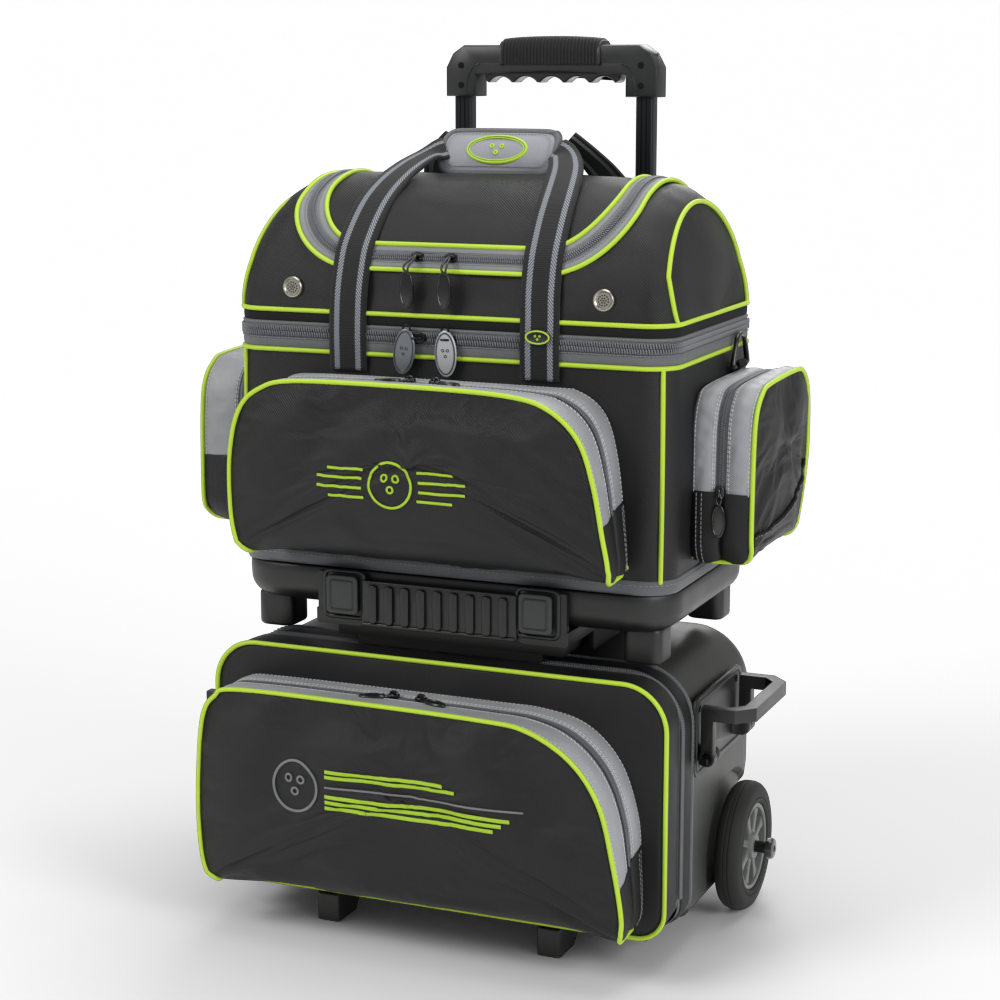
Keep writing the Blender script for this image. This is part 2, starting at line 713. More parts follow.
def make_materials():
    twill("black_cloth", (6, 6, 7), (27, 27, 29), period=2.9, depth=0.0003, rough=0.47,
          sheen=0.0, spec=0.32)
    twill("black_strip", (8, 8, 9), (26, 26, 27), period=1.6, depth=0.00014, rough=0.7,
          sheen=0.0, spec=0.2)
    twill("silver_cloth", (104, 105, 108), (168, 170, 174), period=1.9, depth=0.00016,
          rough=0.46, sheen=0.2, spec=0.5, metal=0.12, contrast=0.9)
    twill("wrap_cloth", (112, 114, 120), (162, 164, 171), period=1.8, depth=0.0002, rough=0.6,
          sheen=0.1, contrast=0.8)
    twill("tape_grey", (72, 73, 75), (112, 113, 116), period=1.5, depth=0.00016, rough=0.7,
          sheen=0.15, contrast=0.8)
    twill("silver_tape", (92, 93, 96), (140, 142, 146), period=1.7, depth=0.00016, rough=0.55,
          sheen=0.2, spec=0.45, contrast=0.8)
    twill("binding_grey", (68, 69, 72), (108, 110, 114), period=1.8, depth=0.0002, sheen=0.2,
          contrast=0.8)
    twill("lining", (48, 49, 51), (76, 77, 79), period=2.6, depth=0.0001, rough=0.8)
    twill("foam", (38, 38, 40), (58, 58, 60), period=3.2, depth=0.0002, rough=0.95, spec=0.1)
    plastic("shell", (43, 45, 41), rough=0.43, grain=0.00006, grain_scale=1100, vary=0.07)
    plastic("black_plastic", (7, 7, 7), rough=0.38, grain=0.00007, vary=0.15)
    plastic("tray_plastic", (10, 11, 10), rough=0.44, grain=0.00006, grain_scale=1100)
    plain("gloss_black", (6, 6, 7), rough=0.22, lighten=0.15, coat=0.3)
    plastic("grip_black", (20, 21, 23), rough=0.42, grain=0.00008, grain_scale=800, vary=0.15)
    plastic("rubber_grip", (16, 16, 18), rough=0.6, grain=0.00010, grain_scale=600, spec=0.3)
    plain("pad_grey", (40, 43, 42), rough=0.5, lighten=0.08)
    plastic("tyre", (30, 31, 29), rough=0.7, grain=0.00012, grain_scale=500, vary=0.15,
            spec=0.3)
    plastic("hub_grey", (92, 94, 92), rough=0.42, vary=0.08)
    plain("coil_grey", (98, 99, 104), rough=0.36, lighten=0.05, spec=0.6)
    plain("coil_black", (30, 30, 32), rough=0.38, lighten=0.05)
    plain("nickel", (168, 163, 154), rough=0.3, lighten=0.05, metal=1.0)
    plain("hole_dark", (24, 22, 20), rough=0.7, lighten=0.05)
    plain("pull_grey", (120, 124, 130), rough=0.36, lighten=0.07, metal=0.7)
    plain("pull_light", (172, 175, 178), rough=0.4, lighten=0.07, metal=0.5)
    plain("pull_rim", (62, 65, 70), rough=0.35, lighten=0.05, metal=0.6)
    plain("black_metal", (8, 8, 9), rough=0.25, lighten=0.1, metal=0.5)
    plain("lime_thread", (166, 198, 50), rough=0.5, lighten=0.05, spec=0.4)
    plain("thread_white", (196, 197, 199), rough=0.6, lighten=0.04)
    plain("thread_grey", (120, 121, 123), rough=0.6, lighten=0.04)
    Shader("lime_piping").set(color=srgb(172, 201, 58), rough=0.5, spec=0.25, sheen=0.0)
    metal_tube()
    webbing()
    Shader("studio_floor").set(color=(0.93, 0.93, 0.93, 1), rough=0.6, spec=0.2)
    object_cloth("foam_object", (40, 40, 42), (60, 60, 62), period=3.0)
    object_cloth("lining_object", (48, 49, 51), (74, 75, 77), period=2.2)


# ------------------------------------------------------------------ lower case
SLOPE_TOP = 134                     # the case's rear wall leans forward below this height
REAR_ROUND = 34.0                   # rounding of the side and top walls into the rear wall
RECESS_RADIUS, RECESS_DEPTH = 75, 5.0


def case_shell():
    front, rear = SHELL_LOW[1], SHELL_HIGH[1]
    tyre_low, tyre_high = box("tyre_right")
    _, wheel_y, wheel_z = (tyre_low + tyre_high) / 2
    outline, normals = section(-CASE_HALF, SHELL_LOW[2], CASE_HALF, SHELL_HIGH[2],
                               [12, 12, 58, 58], 2.6)
    x, z = outline.T

    def rear_y(z):
        return np.where(z < SLOPE_TOP, rear - (SLOPE_TOP - z) * 53 / 114.0, rear)

    grid = np.array([np.stack([x, front + k * (rear_y(z) - front), z], 1)
                     for k in np.linspace(0, 1, 62)])
    near_rear = np.clip((grid[:, :, 1] - (grid[-1:, :, 1] - REAR_ROUND)) / REAR_ROUND, 0, 1)
    inset = REAR_ROUND * (1 - np.sqrt(np.clip(1 - near_rear ** 2, 0, 1)))
    grid[:, :, 0] -= normals[None, :, 0] * inset
    grid[:, :, 2] -= np.where(normals[None, :, 1] > 0, normals[None, :, 1] * inset, 0)
    # wheel recess in the side walls
    side = np.clip((np.abs(normals[:, 0]) - 0.9) * 10, 0, 1)[None]
    radius = np.hypot(grid[:, :, 1] - wheel_y, grid[:, :, 2] - wheel_z)
    recess = np.clip((RECESS_RADIUS - radius) / 3.5, 0, 1)
    recess = recess * recess * (3 - 2 * recess)
    grid[:, :, 0] -= normals[None, :, 0] * recess * RECESS_DEPTH * side
    walls = sheet_shape(grid, (0, 30, 150), 3.0)
    # rear wall: the last ring shrunk to the middle
    last = grid[-1, :-1]
    centre = np.array([0, rear - 6, 150.0])
    rings = []
    for k in np.linspace(0, 1, 26)[:-1]:
        ring = last * (1 - k) + centre * k
        ring[:, 1] = rear_y(ring[:, 2]) - 0.5 * (1 - k)
        rings.append(ring)
    grid = closed_rows(rings)
    verts, faces, uv = sheet_shape(grid, (0, 0, 150), 2.5)
    parts = Parts()
    parts.add(walls, uv=walls[2])
    parts.add((verts, faces + tip_caps(grid)), uv=uv)
    parts.make("case_shell_body", ["shell"], "case", replaces=["case_shell"], sharp=60)


def case_front():
    """Fabric band round the case's front, binding over the shell edge, zipper, base and feet."""
    edge = SHELL_LOW[1]
    inside = (0, -85, 150)
    outline, normals = section(-CASE_HALF, 32, CASE_HALF, box("case_front_frame")[1][2],
                               [22, 22, 52, 52])
    grid = band(outline, normals, np.linspace(ZIP_Y + 4, edge + 0.5, 11), 1.0, 1.6, crease=0.5)
    sheet("case_front_band", grid, "black_cloth", "case", inside, 2.0,
          replaces=["case_front_frame"])
    grid = band(outline, normals, np.linspace(ZIP_Y - 0.8, ZIP_Y + 7, 4), 0.2)
    sheet("case_zip_tape_rear", grid, "tape_grey", "case", inside, 1.2, slot="black_fabric")
    grid = band(outline, normals, np.linspace(edge - 5.5, edge + 3.5, 6), 1.6, 1.2)
    sheet("case_seam_binding", grid, "binding_grey", "case", inside, 1.2)
    # the zipper runs over the sides and top, from low on one side to low on the other
    out = np.insert(normals, 1, 0.0, axis=1)
    keep = outline[:, 1] > 62
    line = band(outline, normals, [ZIP_Y - 0.2], 0.6)[0][keep]
    wide = unit(np.cross(unit(np.gradient(line, axis=0)), out[keep]))
    zip_coils((("case_zip_coil_rear", "case"), ("door_zip_coil_front", "door")),
              line, out[keep], side=1 if wide[:, 1].mean() > 0 else -1, shift=1.2,
              length=4.4, width=0.9, pitch=2.4, lift=1.7)
    line = band(outline, normals, [edge - 3.4], 2.9)[0]
    stitches("case_seam_stitches", [(line, out)], "thread_grey", "case", 4.6, 3.2)
    build("case_base_plate", box_shape(-214, 214, -141, ZIP_Y + 8, 30.3, 35.0, 2.0),
          "tray_plastic", "case", sharp=40)
    for name, _ in SIDES:
        finish_cad("front_foot_" + name, 3.2, "black_plastic", 4, smooth=False)


def door():
    """Side band, zipper tape, face and piping of the case door."""
    front = DOOR_LOW[1]
    outline, normals = section(-CASE_HALF, DOOR_LOW[2], CASE_HALF, DOOR_HIGH[2],
                               [26, 26, 42, 42])
    grid = band(outline, normals, np.linspace(front, ZIP_Y - 5.5, 13), 0.4, 1.4,
                crease=0.6, wavelength=55, seed=5)
    sheet("door_side_band", grid, "black_cloth", "door", (0, -125, 150), 2.0,
          replaces=["case_door"])
    levels = [ZIP_Y - back for back in (8.5, 6, 4, 1.6)]
    sheet("door_zip_tape", band(outline, normals, levels, 0.2), "tape_grey", "door",
          (0, -105, 150), 1.2, slot="black_fabric")
    rings = []
    centre = np.array([0.0, 155.0])
    for k in np.linspace(0, 0.985, 34):
        y = front - 0.5 - 5.0 * (1 - (1 - k) ** 2.2)
        ring = np.insert(outline * (1 - k) + centre * k, 1, y, axis=1)
        ring[:, 1] += ripple(ring, 85, 9) * 1.1 * min(1, k * 8)
        rings.append(ring)
    grid = np.array(rings)
    verts, faces, _ = sheet_shape(grid, (0, 0, 155), 2.0)
    parts = Parts()
    parts.add((verts, faces + tip_caps(grid)), uv=verts[:, [0, 2]])
    parts.make("door_face", ["black_cloth"], "door")
    pipe("door_piping", band(outline, normals, [front - 0.6], 1.2)[0][:-1], "door", closed=True)


# ------------------------------------------------------------------ gusseted pockets
# Facings: rows are where a pocket's across, depth and height axes point in the bag.
FACE_FRONT = np.array([[1.0, 0, 0], [0, -1, 0], [0, 0, 1]])
FACE_RIGHT = np.array([[0.0, 1, 0], [1, 0, 0], [0, 0, 1]])
FACE_LEFT = np.array([[0.0, 1, 0], [-1, 0, 0], [0, 0, 1]])

# Pocket outlines, (across, height), from the lower left over the top to the lower right.
LOWER_BACK = [[-208, 50], [-221, 66], [-226, 110], [-225, 180], [-217, 222], [-196, 241],
              [-150, 245], [60, 245], [115, 244], [157, 234], [189, 203], [206, 155],
              [209, 110], [210, 66], [204, 50]]
LOWER_FRONT = [[-206, 50], [-218, 64], [-223, 105], [-222, 160], [-216, 214], [-203, 235],
               [-180, 244], [-60, 245], [70, 243], [118, 238], [160, 215], [187, 178],
               [201, 125], [210, 72], [206, 50]]
TOTE_BACK = [[-170, 372], [-176, 384], [-180, 420], [-179, 480], [-170, 515], [-152, 533],
             [-120, 538], [100, 538], [136, 536], [160, 518], [171, 485], [177, 440],
             [181, 388], [180, 372]]
TOTE_FRONT = [[-176, 376], [-186, 388], [-191, 420], [-190, 470], [-180, 510], [-158, 531],
              [-120, 540], [0, 541], [90, 538], [130, 528], [158, 503], [172, 465],
              [181, 420], [187, 388], [184, 374]]
SIDE_BACK = [[-46, 374], [-53, 384], [-56, 404], [-56, 480], [-54, 506], [-44, 524],
             [-22, 533], [80, 534], [104, 530], [118, 515], [122, 490], [122, 440],
             [118, 400], [110, 374]]
SIDE_FRONT = [[-42, 376], [-52, 390], [-54, 412], [-52, 480], [-46, 512], [-30, 529],
              [-6, 536], [84, 538], [110, 533], [126, 516], [131, 490], [129, 450],
              [114, 412], [92, 376]]

LINE = 420                          # points along a pocket outline
CLOTH = []                          # panels to inflate: (object, pins, body, travel, pressure)


def crossing(outline, z, right):
    """Fractional index where an open outline first reaches height z from its left or right end."""
    heights = outline[::-1, 1] if right else outline[:, 1]
    i = int(np.argmax(heights >= z))
    index = 0.0
    if i > 0:
        index = i - 1 + (z - heights[i - 1]) / (heights[i] - heights[i - 1] + 1e-9)
    return (len(outline) - 1 - index) if right else index


def at(outline, index):
    """Points at fractional indices."""
    index = np.clip(index, 0, len(outline) - 1)
    i = np.minimum(index.astype(int), len(outline) - 2)
    part = (index - i)[:, None]
    return outline[i] * (1 - part) + outline[i + 1] * part


class Pocket:
    """A zipped pocket: silver gusset in two halves with a zipper between, black lower ends, and
    a black panel that rolls under at the bottom. A place is given by an index along the outline
    and a level, 0 at the back and 1 at the front.
    depths: back, zipper and front; foot: height of the underside; roll: radius of the bottom
    roll; black_tops: height of the black ends at back and front; body: what the back half
    rides on; puff: swelling of the panel; travel, pressure: limit and force of its cloth."""

    def __init__(self, name, facing, back, front, depths, foot, roll, black_tops, body, puff,
                 bulge, seed, wrinkle=0.5, uneven=0.9, travel=7.0, pressure=2.0):
        self.name, self.facing, self.body, self.seed = name, facing, body, seed
        self.back, self.front = curve(back, count=LINE), curve(front, count=LINE)
        self.near, middle, self.far = depths
        self.span = self.far - self.near
        self.depth = abs(self.span)
        self.zip = (middle - self.near) / self.span
        self.foot, self.roll, self.black_tops = foot, roll, black_tops
        self.puff, self.bulge, self.wrinkle, self.uneven = puff, bulge, wrinkle, uneven
        self.travel, self.pressure = travel, pressure
        across, height = self.back.mean(0)
        self.inside = self.world(across, (self.near + self.far) / 2, height)
        self.gussets()
        self.zipper()
        self.stitching()
        self.piping()
        self.panel()

    def world(self, across, depth, height):
        return np.stack(np.broadcast_arrays(across, depth, height), -1) @ self.facing

    def outline(self, level):
        return self.back * (1 - level) + self.front * level

    def point(self, index, level, offset=0.0):
        """Points and normals on the gusset, pushed out by the offset."""
        outline, index = self.outline(level), np.atleast_1d(index)
        along = unit(at(outline, index + 1.5) - at(outline, index - 1.5))
        normal = np.stack([-along[:, 1], along[:, 0]], 1)
        flat = at(outline, index) + normal * np.reshape(offset, (-1, 1))
        return (self.world(flat[:, 0], self.near + self.span * level, flat[:, 1]),
                self.world(normal[:, 0], 0.0, normal[:, 1]))

    def crossings(self, level, z):
        outline = self.outline(level)
        return crossing(outline, z, False), crossing(outline, z, True)

    def ends(self, level):
        """Indices where the gusset meets the underside."""
        inner = max(self.roll - (1 - level) * self.depth, 0)
        lift = self.roll - math.sqrt(max(self.roll * self.roll - inner ** 2, 0))
        return self.crossings(level, self.foot + lift + 0.01)

    def cuts(self, level):
        """Indices where silver cloth meets the black ends."""
        low, high = self.black_tops
        return self.crossings(level, low + (high - low) * level * level * (3 - 2 * level))

    def hump(self, level, low, high):
        k = (level - low) / (high - low)
        return 4 * k * (1 - k)

    def halves(self, gap):
        """The two halves, each ending `gap` mm from the zipper line."""
        gap = gap / self.depth
        return (("back", 0.0, self.zip - gap, self.body),
                ("front", self.zip + gap, 1.0, self.name))

    def strip(self, part, low, high, where, mat, body, offset, rows, bulge, wrinkle,
              replaces=()):
        grid = []
        for level in np.linspace(low, high, rows):
            end0, end1 = self.ends(level)
            cut0, cut1 = self.cuts(level)
            if where == "silver":
                index = np.linspace(cut0, cut1, 220)
            elif where == "left":
                index = np.linspace(end0, cut0 + 2, 40)
            else:
                index = np.linspace(cut1 - 2, end1, 40)
            hump = self.hump(level, low, high)
            out = offset + bulge * hump
            points, _ = self.point(index, level, out)
            if wrinkle:
                folds = (ripple(points, 26, self.seed + 3) * 0.6
                         + ripple(points, 11, self.seed + 4) * 0.4)
                points, _ = self.point(index, level, out + folds * wrinkle * min(1, hump + 0.1))
            grid.append(points)
        sheet(self.name + part, grid, mat, body, self.inside, 1.3, replaces=replaces)

    def gussets(self):
        for (half, low, high, body), kind in zip(self.halves(5.0), ("gusset", "cover")):
            self.strip("_gusset_" + half, low, high, "silver", "silver_cloth", body, 0.0, 9,
                       self.bulge, self.wrinkle,
                       replaces=[self.name.replace("pocket", "pocket_" + kind)])
        for side, _ in SIDES:
            for half, low, high, body in self.halves(0.3):
                self.strip(f"_end_{side}_{half}", low, high, side, "black_cloth", body, 0.9, 7,
                           self.bulge, 0.25)

    def zipper(self):
        far, near = 7.5 / self.depth, 0.15 / self.depth
        for half, low, high, body in (
                ("back", self.zip - far, self.zip - near, self.body),
                ("front", self.zip + near, self.zip + far, self.name)):
            self.strip("_tape_" + half, low, high, "silver", "tape_grey", body, -0.9, 4, 0, 0)
        cut0, cut1 = self.cuts(self.zip)
        points, normals = self.point(np.linspace(cut0 + 1, cut1 - 1, LINE), self.zip, -0.6)
        along = unit(np.gradient(points, axis=0))
        wide = np.cross(along, normals) @ self.world(0.0, 1.0, 0.0)
        zip_coils(((self.name + "_coil_back", self.body), (self.name + "_coil_front", self.name)),
                  points, normals, side=-1.0 if wide.mean() > 0 else 1.0, shift=1.0,
                  length=2.6, pitch=2.0)

    def stitching(self):
        far, near = 7.75 / self.depth, 6.0 / self.depth
        rows = ((0.05, self.zip - far, self.zip - near), (self.zip + near, self.zip + far, 0.94))
        for (half, low, high, body), levels in zip(self.halves(5.0), rows):
            paths = []
            for level in levels:
                cut0, cut1 = self.cuts(level)
                paths.append(self.point(np.linspace(cut0 + 2, cut1 - 2, LINE), level,
                                        self.bulge * self.hump(level, low, high) + 0.15))
            stitches(self.name + "_stitch_" + half, paths, "thread_white", body)
        paths = []
        for level in (0.10, 0.19):
            cut0, cut1 = self.cuts(level)
            end0, end1 = self.ends(level)
            out = 1.0 + self.bulge * self.hump(level, 0.0, self.zip)
            for start, stop in ((end0 + 3, cut0 - 1), (cut1 + 1, end1 - 3)):
                paths.append(self.point(np.linspace(start, stop, 90), level, out))
        stitches(self.name + "_stitch_ends", paths, "thread_grey", self.body, length=3.4,
                 width=0.5, slot="black_fabric")

    def piping(self):
        """From the body forward along the gusset's foot, round the front edge and back again.
        The back half of the foot piping stays with the bag, the rest goes with the cover."""
        front, _ = self.point(np.linspace(*self.ends(1.0), LINE), 1.0, 0.8)
        levels = np.linspace(0.0, 0.995, 26)
        feet = [np.array([self.point(self.ends(level)[side], level, 1.6)[0][0]
                          for level in levels]) for side in (0, 1)]
        hook = self.roll * 0.55
        hooked = 7                                   # points lifted where the piping starts
        for foot in feet:
            for i in range(hooked):
                foot[i] += Z_AXIS * hook * math.sin(math.pi * (i + 1.5) / (hooked + 1.5)) * 0.8
        middle = int(round(self.zip * 25))
        path = np.vstack([feet[0][middle:], front, feet[1][middle:][::-1]])
        pipe(self.name + "_piping", resample(path, step=2.5), self.name)
        for (side, _), foot in zip(SIDES, feet):
            pipe(f"{self.name}_piping_foot_{side}", resample(foot[:middle + 1], step=2.0),
                 self.body)

    def panel(self):
        """The front face as rings inside the piping, then the roll under it to the back."""
        top, bottom, face_rings, roll_rows = 300, 90, 34, 26
        edge = at(self.front, np.linspace(*self.ends(1.0), top))
        low = np.linspace(edge[-1, 0], edge[0, 0], bottom + 2)[1:-1]
        ring = np.vstack([edge, np.stack([low, np.full(bottom, edge[0, 1])], 1)])
        centre = (edge.min(0) + edge.max(0)) / 2
        pinch = np.ones(len(ring))                   # none along the bottom roll
        along = np.linspace(0, 1, bottom)
        pinch[top:] = np.clip(1 - np.minimum(along, 1 - along) * 7, 0, 1) ** 2
        verts, flat = [], []
        for k in (1 - (1 - np.linspace(0, 1, face_rings)) ** 1.25) * 0.97:
            points = ring * (1 - k) + centre * k
            rise = 1 - (1 - k) ** 2.4
            depth = self.far + self.puff * (pinch * rise + (1 - pinch) * (0.55 + 0.45 * rise))
            swell = ripple(self.world(points[:, 0], depth, points[:, 1]), 95, self.seed + 20)
            swell = swell * self.uneven * (1 - pinch * (1 - k) ** 6)
            verts.append(self.world(points[:, 0], depth + swell, points[:, 1]))
            flat.append(points)
        count = len(ring)
        faces = ring_faces(face_rings, count)
        faces.append(tuple((face_rings - 1) * count + i for i in range(count)))
        # the roll
        base = np.vstack([ring[top - 1:], ring[:1]])
        rows = [list(range(top - 1, count)) + [0]]
        share = (base[:, 0] - base[-1, 0]) / (base[0, 0] - base[-1, 0])
        margin = np.minimum(share, 1 - share)
        quarter = math.pi / 2 * self.roll
        total = quarter + (self.depth - self.roll)
        used = face_rings * count
        for j in range(1, roll_rows + 1):
            k = j / roll_rows
            arc = k * total
            if arc < quarter:
                back = self.roll * (1 - math.cos(arc / self.roll))
                z = self.foot + self.roll - self.roll * math.sin(arc / self.roll)
            else:
                back = self.roll + (arc - quarter)
                z = self.foot
            level = 1 - back / self.depth
            x0, x1 = at(self.outline(level), np.array(self.ends(level)))[:, 0]
            across = x0 + (x1 - x0) * share
            belly = 4 * share * (1 - share) * math.sin(math.pi * k)
            belly = belly * np.clip(margin * 12, 0, 1)
            swell = self.puff * 0.55 * (1 - np.clip(1 - margin * 7, 0, 1) ** 2)
            swell = swell * max(0.0, 1 - k * 1.3)
            verts.append(self.world(across, self.near + self.span * level + swell, z - belly))
            flat.append(np.stack([across, base[:, 1] - arc], 1))
            rows.append(list(range(used, used + len(across))))
            used += len(across)
        verts, flat = np.vstack(verts), np.vstack(flat)
        # rows in front of the split belong to the cover, the others stay with the bag
        split = int(round((1 - self.zip) * self.depth / total * roll_rows
                          + (math.pi / 2 - 1) * self.roll / total * roll_rows))
        split = max(2, min(roll_rows - 2, split))
        for above, below in zip(rows[:split], rows[1:]):
            for i in range(len(above) - 1):
                faces.append((above[i], above[i + 1], below[i + 1], below[i]))
        used = rows[split][-1] + 1
        ob = build(self.name + "_panel", (verts[:used], faces, flat[:used]), "black_cloth",
                   recalc=True)
        normals = np.zeros(len(ob.data.polygons) * 3)
        ob.data.polygons.foreach_get("normal", normals)
        if (normals.reshape(-1, 3) @ self.world(0.0, 1.0, 0.0)).mean() < 0:
            ob.data.flip_normals()
        pins = list(range(top)) + rows[split]
        pins += [row[end] for row in rows[1:split] for end in (0, -1)]
        CLOTH.append((ob, pins, self.name, self.travel, self.pressure))
        sheet(self.name + "_under_back", [verts[row] for row in rows[split:]], "black_cloth",
              self.body, self.world(0.0, (self.near + self.far) / 2, centre[1]), 1.5)

    def seat(self, index, lift, ahead):
        """Point, direction along the zipper and normal; `ahead` is the index step used."""
        here, normal = self.point(index, self.zip, lift)
        following, _ = self.point(index + ahead, self.zip, lift)
        return here[0], unit(following[0] - here[0]), normal[0]


def make_pockets():
    """All pockets by name."""
    pockets = {}
    gusset, cover = box("lower_pocket_gusset"), box("lower_pocket_cover")
    pockets["lower_pocket"] = Pocket(
        "lower_pocket", FACE_FRONT, LOWER_BACK, LOWER_FRONT,
        depths=(-gusset[1][1] + 0.2, -cover[1][1] + 0.1, -cover[0][1]), foot=48.5, roll=13,
        black_tops=(124, 97), body="door", puff=7.0, bulge=2.4, seed=11)
    gusset, cover = box("tote_pocket_gusset"), box("tote_pocket_cover")
    pockets["tote_pocket"] = Pocket(
        "tote_pocket", FACE_FRONT, TOTE_BACK, TOTE_FRONT,
        depths=(-gusset[1][1] + 0.1, -cover[1][1] + 0.1, -cover[0][1]), foot=374.5, roll=14,
        black_tops=(437, 424), body="tote", puff=8.0, bulge=2.6, seed=31)
    # (side, facing, extra depth beyond the cover's CAD box, seed)
    for side, facing, extra, seed in (("left", FACE_LEFT, 17, 51), ("right", FACE_RIGHT, 0, 61)):
        gusset = [abs(corner[0]) for corner in box("side_pocket_gusset_" + side)]
        cover = [abs(corner[0]) for corner in box("side_pocket_cover_" + side)]
        name = "side_pocket_" + side
        pockets[name] = Pocket(
            name, facing, SIDE_BACK, SIDE_FRONT,
            depths=(min(gusset) - 0.3, min(cover), max(cover) - 3 + extra), foot=375, roll=15,
            black_tops=(440, 438), body="tote", puff=6.0, bulge=3.2, seed=seed, wrinkle=1.2,
            uneven=0.8, travel=3.6, pressure=1.2)
    return pockets


# ------------------------------------------------------------------ tote body
TOTE_CORNER = 30.0
TOTE_INSIDE = (0, 8, 460)
WAIST = 562                         # height where the tote's cloth ends
FOOT = TOTE_LOW[2]


def perimeter():
    """Closed plan outline and normals from the rear middle, anticlockwise seen from above."""
    half, front, rear = TOTE_HIGH[0], TOTE_LOW[1], TOTE_HIGH[1]
    plan = rounded_loop(-half, front, half, rear, TOTE_CORNER, 16, 3.0)
    start = int(np.argmin(np.abs(plan[:, 0]) + (plan[:, 1] < (front + rear) / 2) * 1e4))
    plan = np.roll(plan, -start, 0)
    return plan, outline_normals(plan)


PLAN, PLAN_NORMALS = perimeter()
WALL_NORMALS = np.c_[PLAN_NORMALS, np.zeros(len(PLAN))]
WAIST_FRONT = np.where(PLAN[:, 1] < 115.5)[0]    # the part of the waist that opens


def wall(offset, z):
    flat = PLAN + PLAN_NORMALS * np.reshape(offset, (-1, 1))
    return np.c_[flat, np.full(len(flat), z)]


def closed_rows(rows):
    grid = np.array(rows)
    return np.concatenate([grid, grid[:, :1]], 1)


def tote_body():
    rows = []
    for k in np.linspace(0, 1, 74):
        z = FOOT + 0.4 + (WAIST - FOOT) * k
        points, hump = wall(0.0, z), math.sin(math.pi * k)
        rows.append(wall(1.6 * hump + ripple(points, 120, 71) * 1.1 * hump ** 0.5
                         + ripple(points * [1, 1, 0.45], 38, 72) * 0.45 * hump ** 0.5, z))
    sheet("tote_body_cloth", closed_rows(rows), "black_cloth", "tote", TOTE_INSIDE, 2.4,
          replaces=["tote_body"])
    rows = [wall(1.0 + 1.2 * math.sin(math.pi * k), FOOT + 0.2 + 13.5 * k)
            for k in np.linspace(0, 1, 6)]
    sheet("tote_foot_binding", closed_rows(rows), "binding_grey", "tote", TOTE_INSIDE, 1.2)
    line = closed_rows([wall(2.1, FOOT + 9.5)])[0]
    stitches("tote_foot_stitches", [(line, np.vstack([WALL_NORMALS, WALL_NORMALS[:1]]))],
             "thread_grey", "tote", 5.0, 3.6)


def waist():
    """Piping, tapes and zipper between the tote and the lid."""
    pipe("tote_waist_piping", wall(1.2, 560.5), "tote", closed=True)
    bands = (   # name, material, body, thickness, (offset, height) of each row
        ("waist_tape_lower", "tape_grey", "tote", 1.2,
         [(0.5 + 1.2 * math.sin(math.pi * k), 561.5 + 12.8 * k) for k in np.linspace(0, 1, 6)]),
        ("waist_zip_lower", "tape_grey", "tote", 1.0,
         [(0.9, z) for z in (573.2, 575, 577, 578.2)]),
        ("waist_zip_upper", "tape_grey", "lid", 1.0,
         [(0.9, z) for z in (578.6, 580, 582, 584.0)]),
        ("waist_tape_upper", "tape_grey", "lid", 1.2,
         [(0.6 + 1.0 * math.sin(math.pi * k), 583.4 + 4.2 * k) for k in np.linspace(0, 1, 4)]),
        ("lid_skirt", "black_strip", "lid", 1.4,
         [(0.3 + 0.6 * math.sin(math.pi * k), 587.0 + 11.4 * k) for k in np.linspace(0, 1, 6)]))
    for name, mat, body, thick, rows in bands:
        grid = [wall(offset, z)[WAIST_FRONT] for offset, z in rows]
        sheet(name, grid, mat, body, TOTE_INSIDE, thick)
    normals = WALL_NORMALS[WAIST_FRONT]
    zip_coils((("waist_coil_lower", "tote"), ("waist_coil_upper", "lid")),
              wall(1.3, 578.4)[WAIST_FRONT], normals, side=1, shift=1.25, length=5.0,
              width=0.95, pitch=2.5, lift=0.9)
    pipe("lid_waist_piping", wall(1.0, 598.6)[WAIST_FRONT], "lid")
    for name, body, offset, z in (("lower", "tote", 2.0, 571.8), ("upper", "lid", 1.4, 586.2)):
        stitches("waist_stitch_" + name, [(wall(offset, z)[WAIST_FRONT], normals)],
                 "thread_grey", body, 3.6, 2.7)


def tote_rear_strip():
    """Joins the lid's fixed rear wall to the body."""
    rear = np.where(PLAN[:, 1] >= 114.0)[0]
    rear = np.roll(rear, -int(np.argmax(np.diff(rear) > 1)) - 1)
    grid = [wall(0.2, z)[rear] for z in np.linspace(561.5, 601.5, 14)]
    sheet("tote_rear_strip", grid, "black_cloth", "tote", TOTE_INSIDE, 2.0)


def tote_corners():
    """Piping up the four corners."""
    angle = math.radians(48)
    reach = TOTE_CORNER + 1.4
    z = np.linspace(FOOT + 12.0, 559, 70)
    bulge = 1.2 * np.sin(np.pi * (z - FOOT) / (WAIST - FOOT))
    for side, sign in SIDES:
        for name, y, way in (("front", TOTE_LOW[1] + TOTE_CORNER, -1),
                             ("rear", TOTE_HIGH[1] - TOTE_CORNER, 1)):
            x = sign * (TOTE_HIGH[0] - TOTE_CORNER + (reach + bulge) * math.cos(angle))
            points = np.stack([x, y + way * (reach + bulge) * math.sin(angle), z], 1)
            pipe(f"tote_corner_piping_{name}_{side}", points, "tote")


def tote_lining():
    rows = [wall(-3.2, z) for z in np.linspace(FOOT + 4, 574, 12)]
    sheet("tote_lining", closed_rows(rows), "lining", "tote", TOTE_INSIDE, 0.8)


# ------------------------------------------------------------------ lid
# The dome is half an ellipse over Y, rounded off at its ends in X. A place on it is an angle,
# 0 at the front, 90 on top and 180 at the rear, and the distance x along the width.
DOME_Y, DOME_Z = 8.0, 600.0
DOME_DEPTH, DOME_RISE = 126.0, 122.0
LID_INSIDE = (0, 8, 600)
# U-shaped zip: angle of its front run, half width, corner start in x and in angle, end angle
U_FRONT, U_HALF, U_CORNER_X, U_CORNER, U_END = 24.7, 161.0, 92.0, 37.0, 122.0
MM_PER_DEGREE = 2.15
LID_LOW, LID_HIGH = -1.6, 182       # range of dome angles covered by cloth


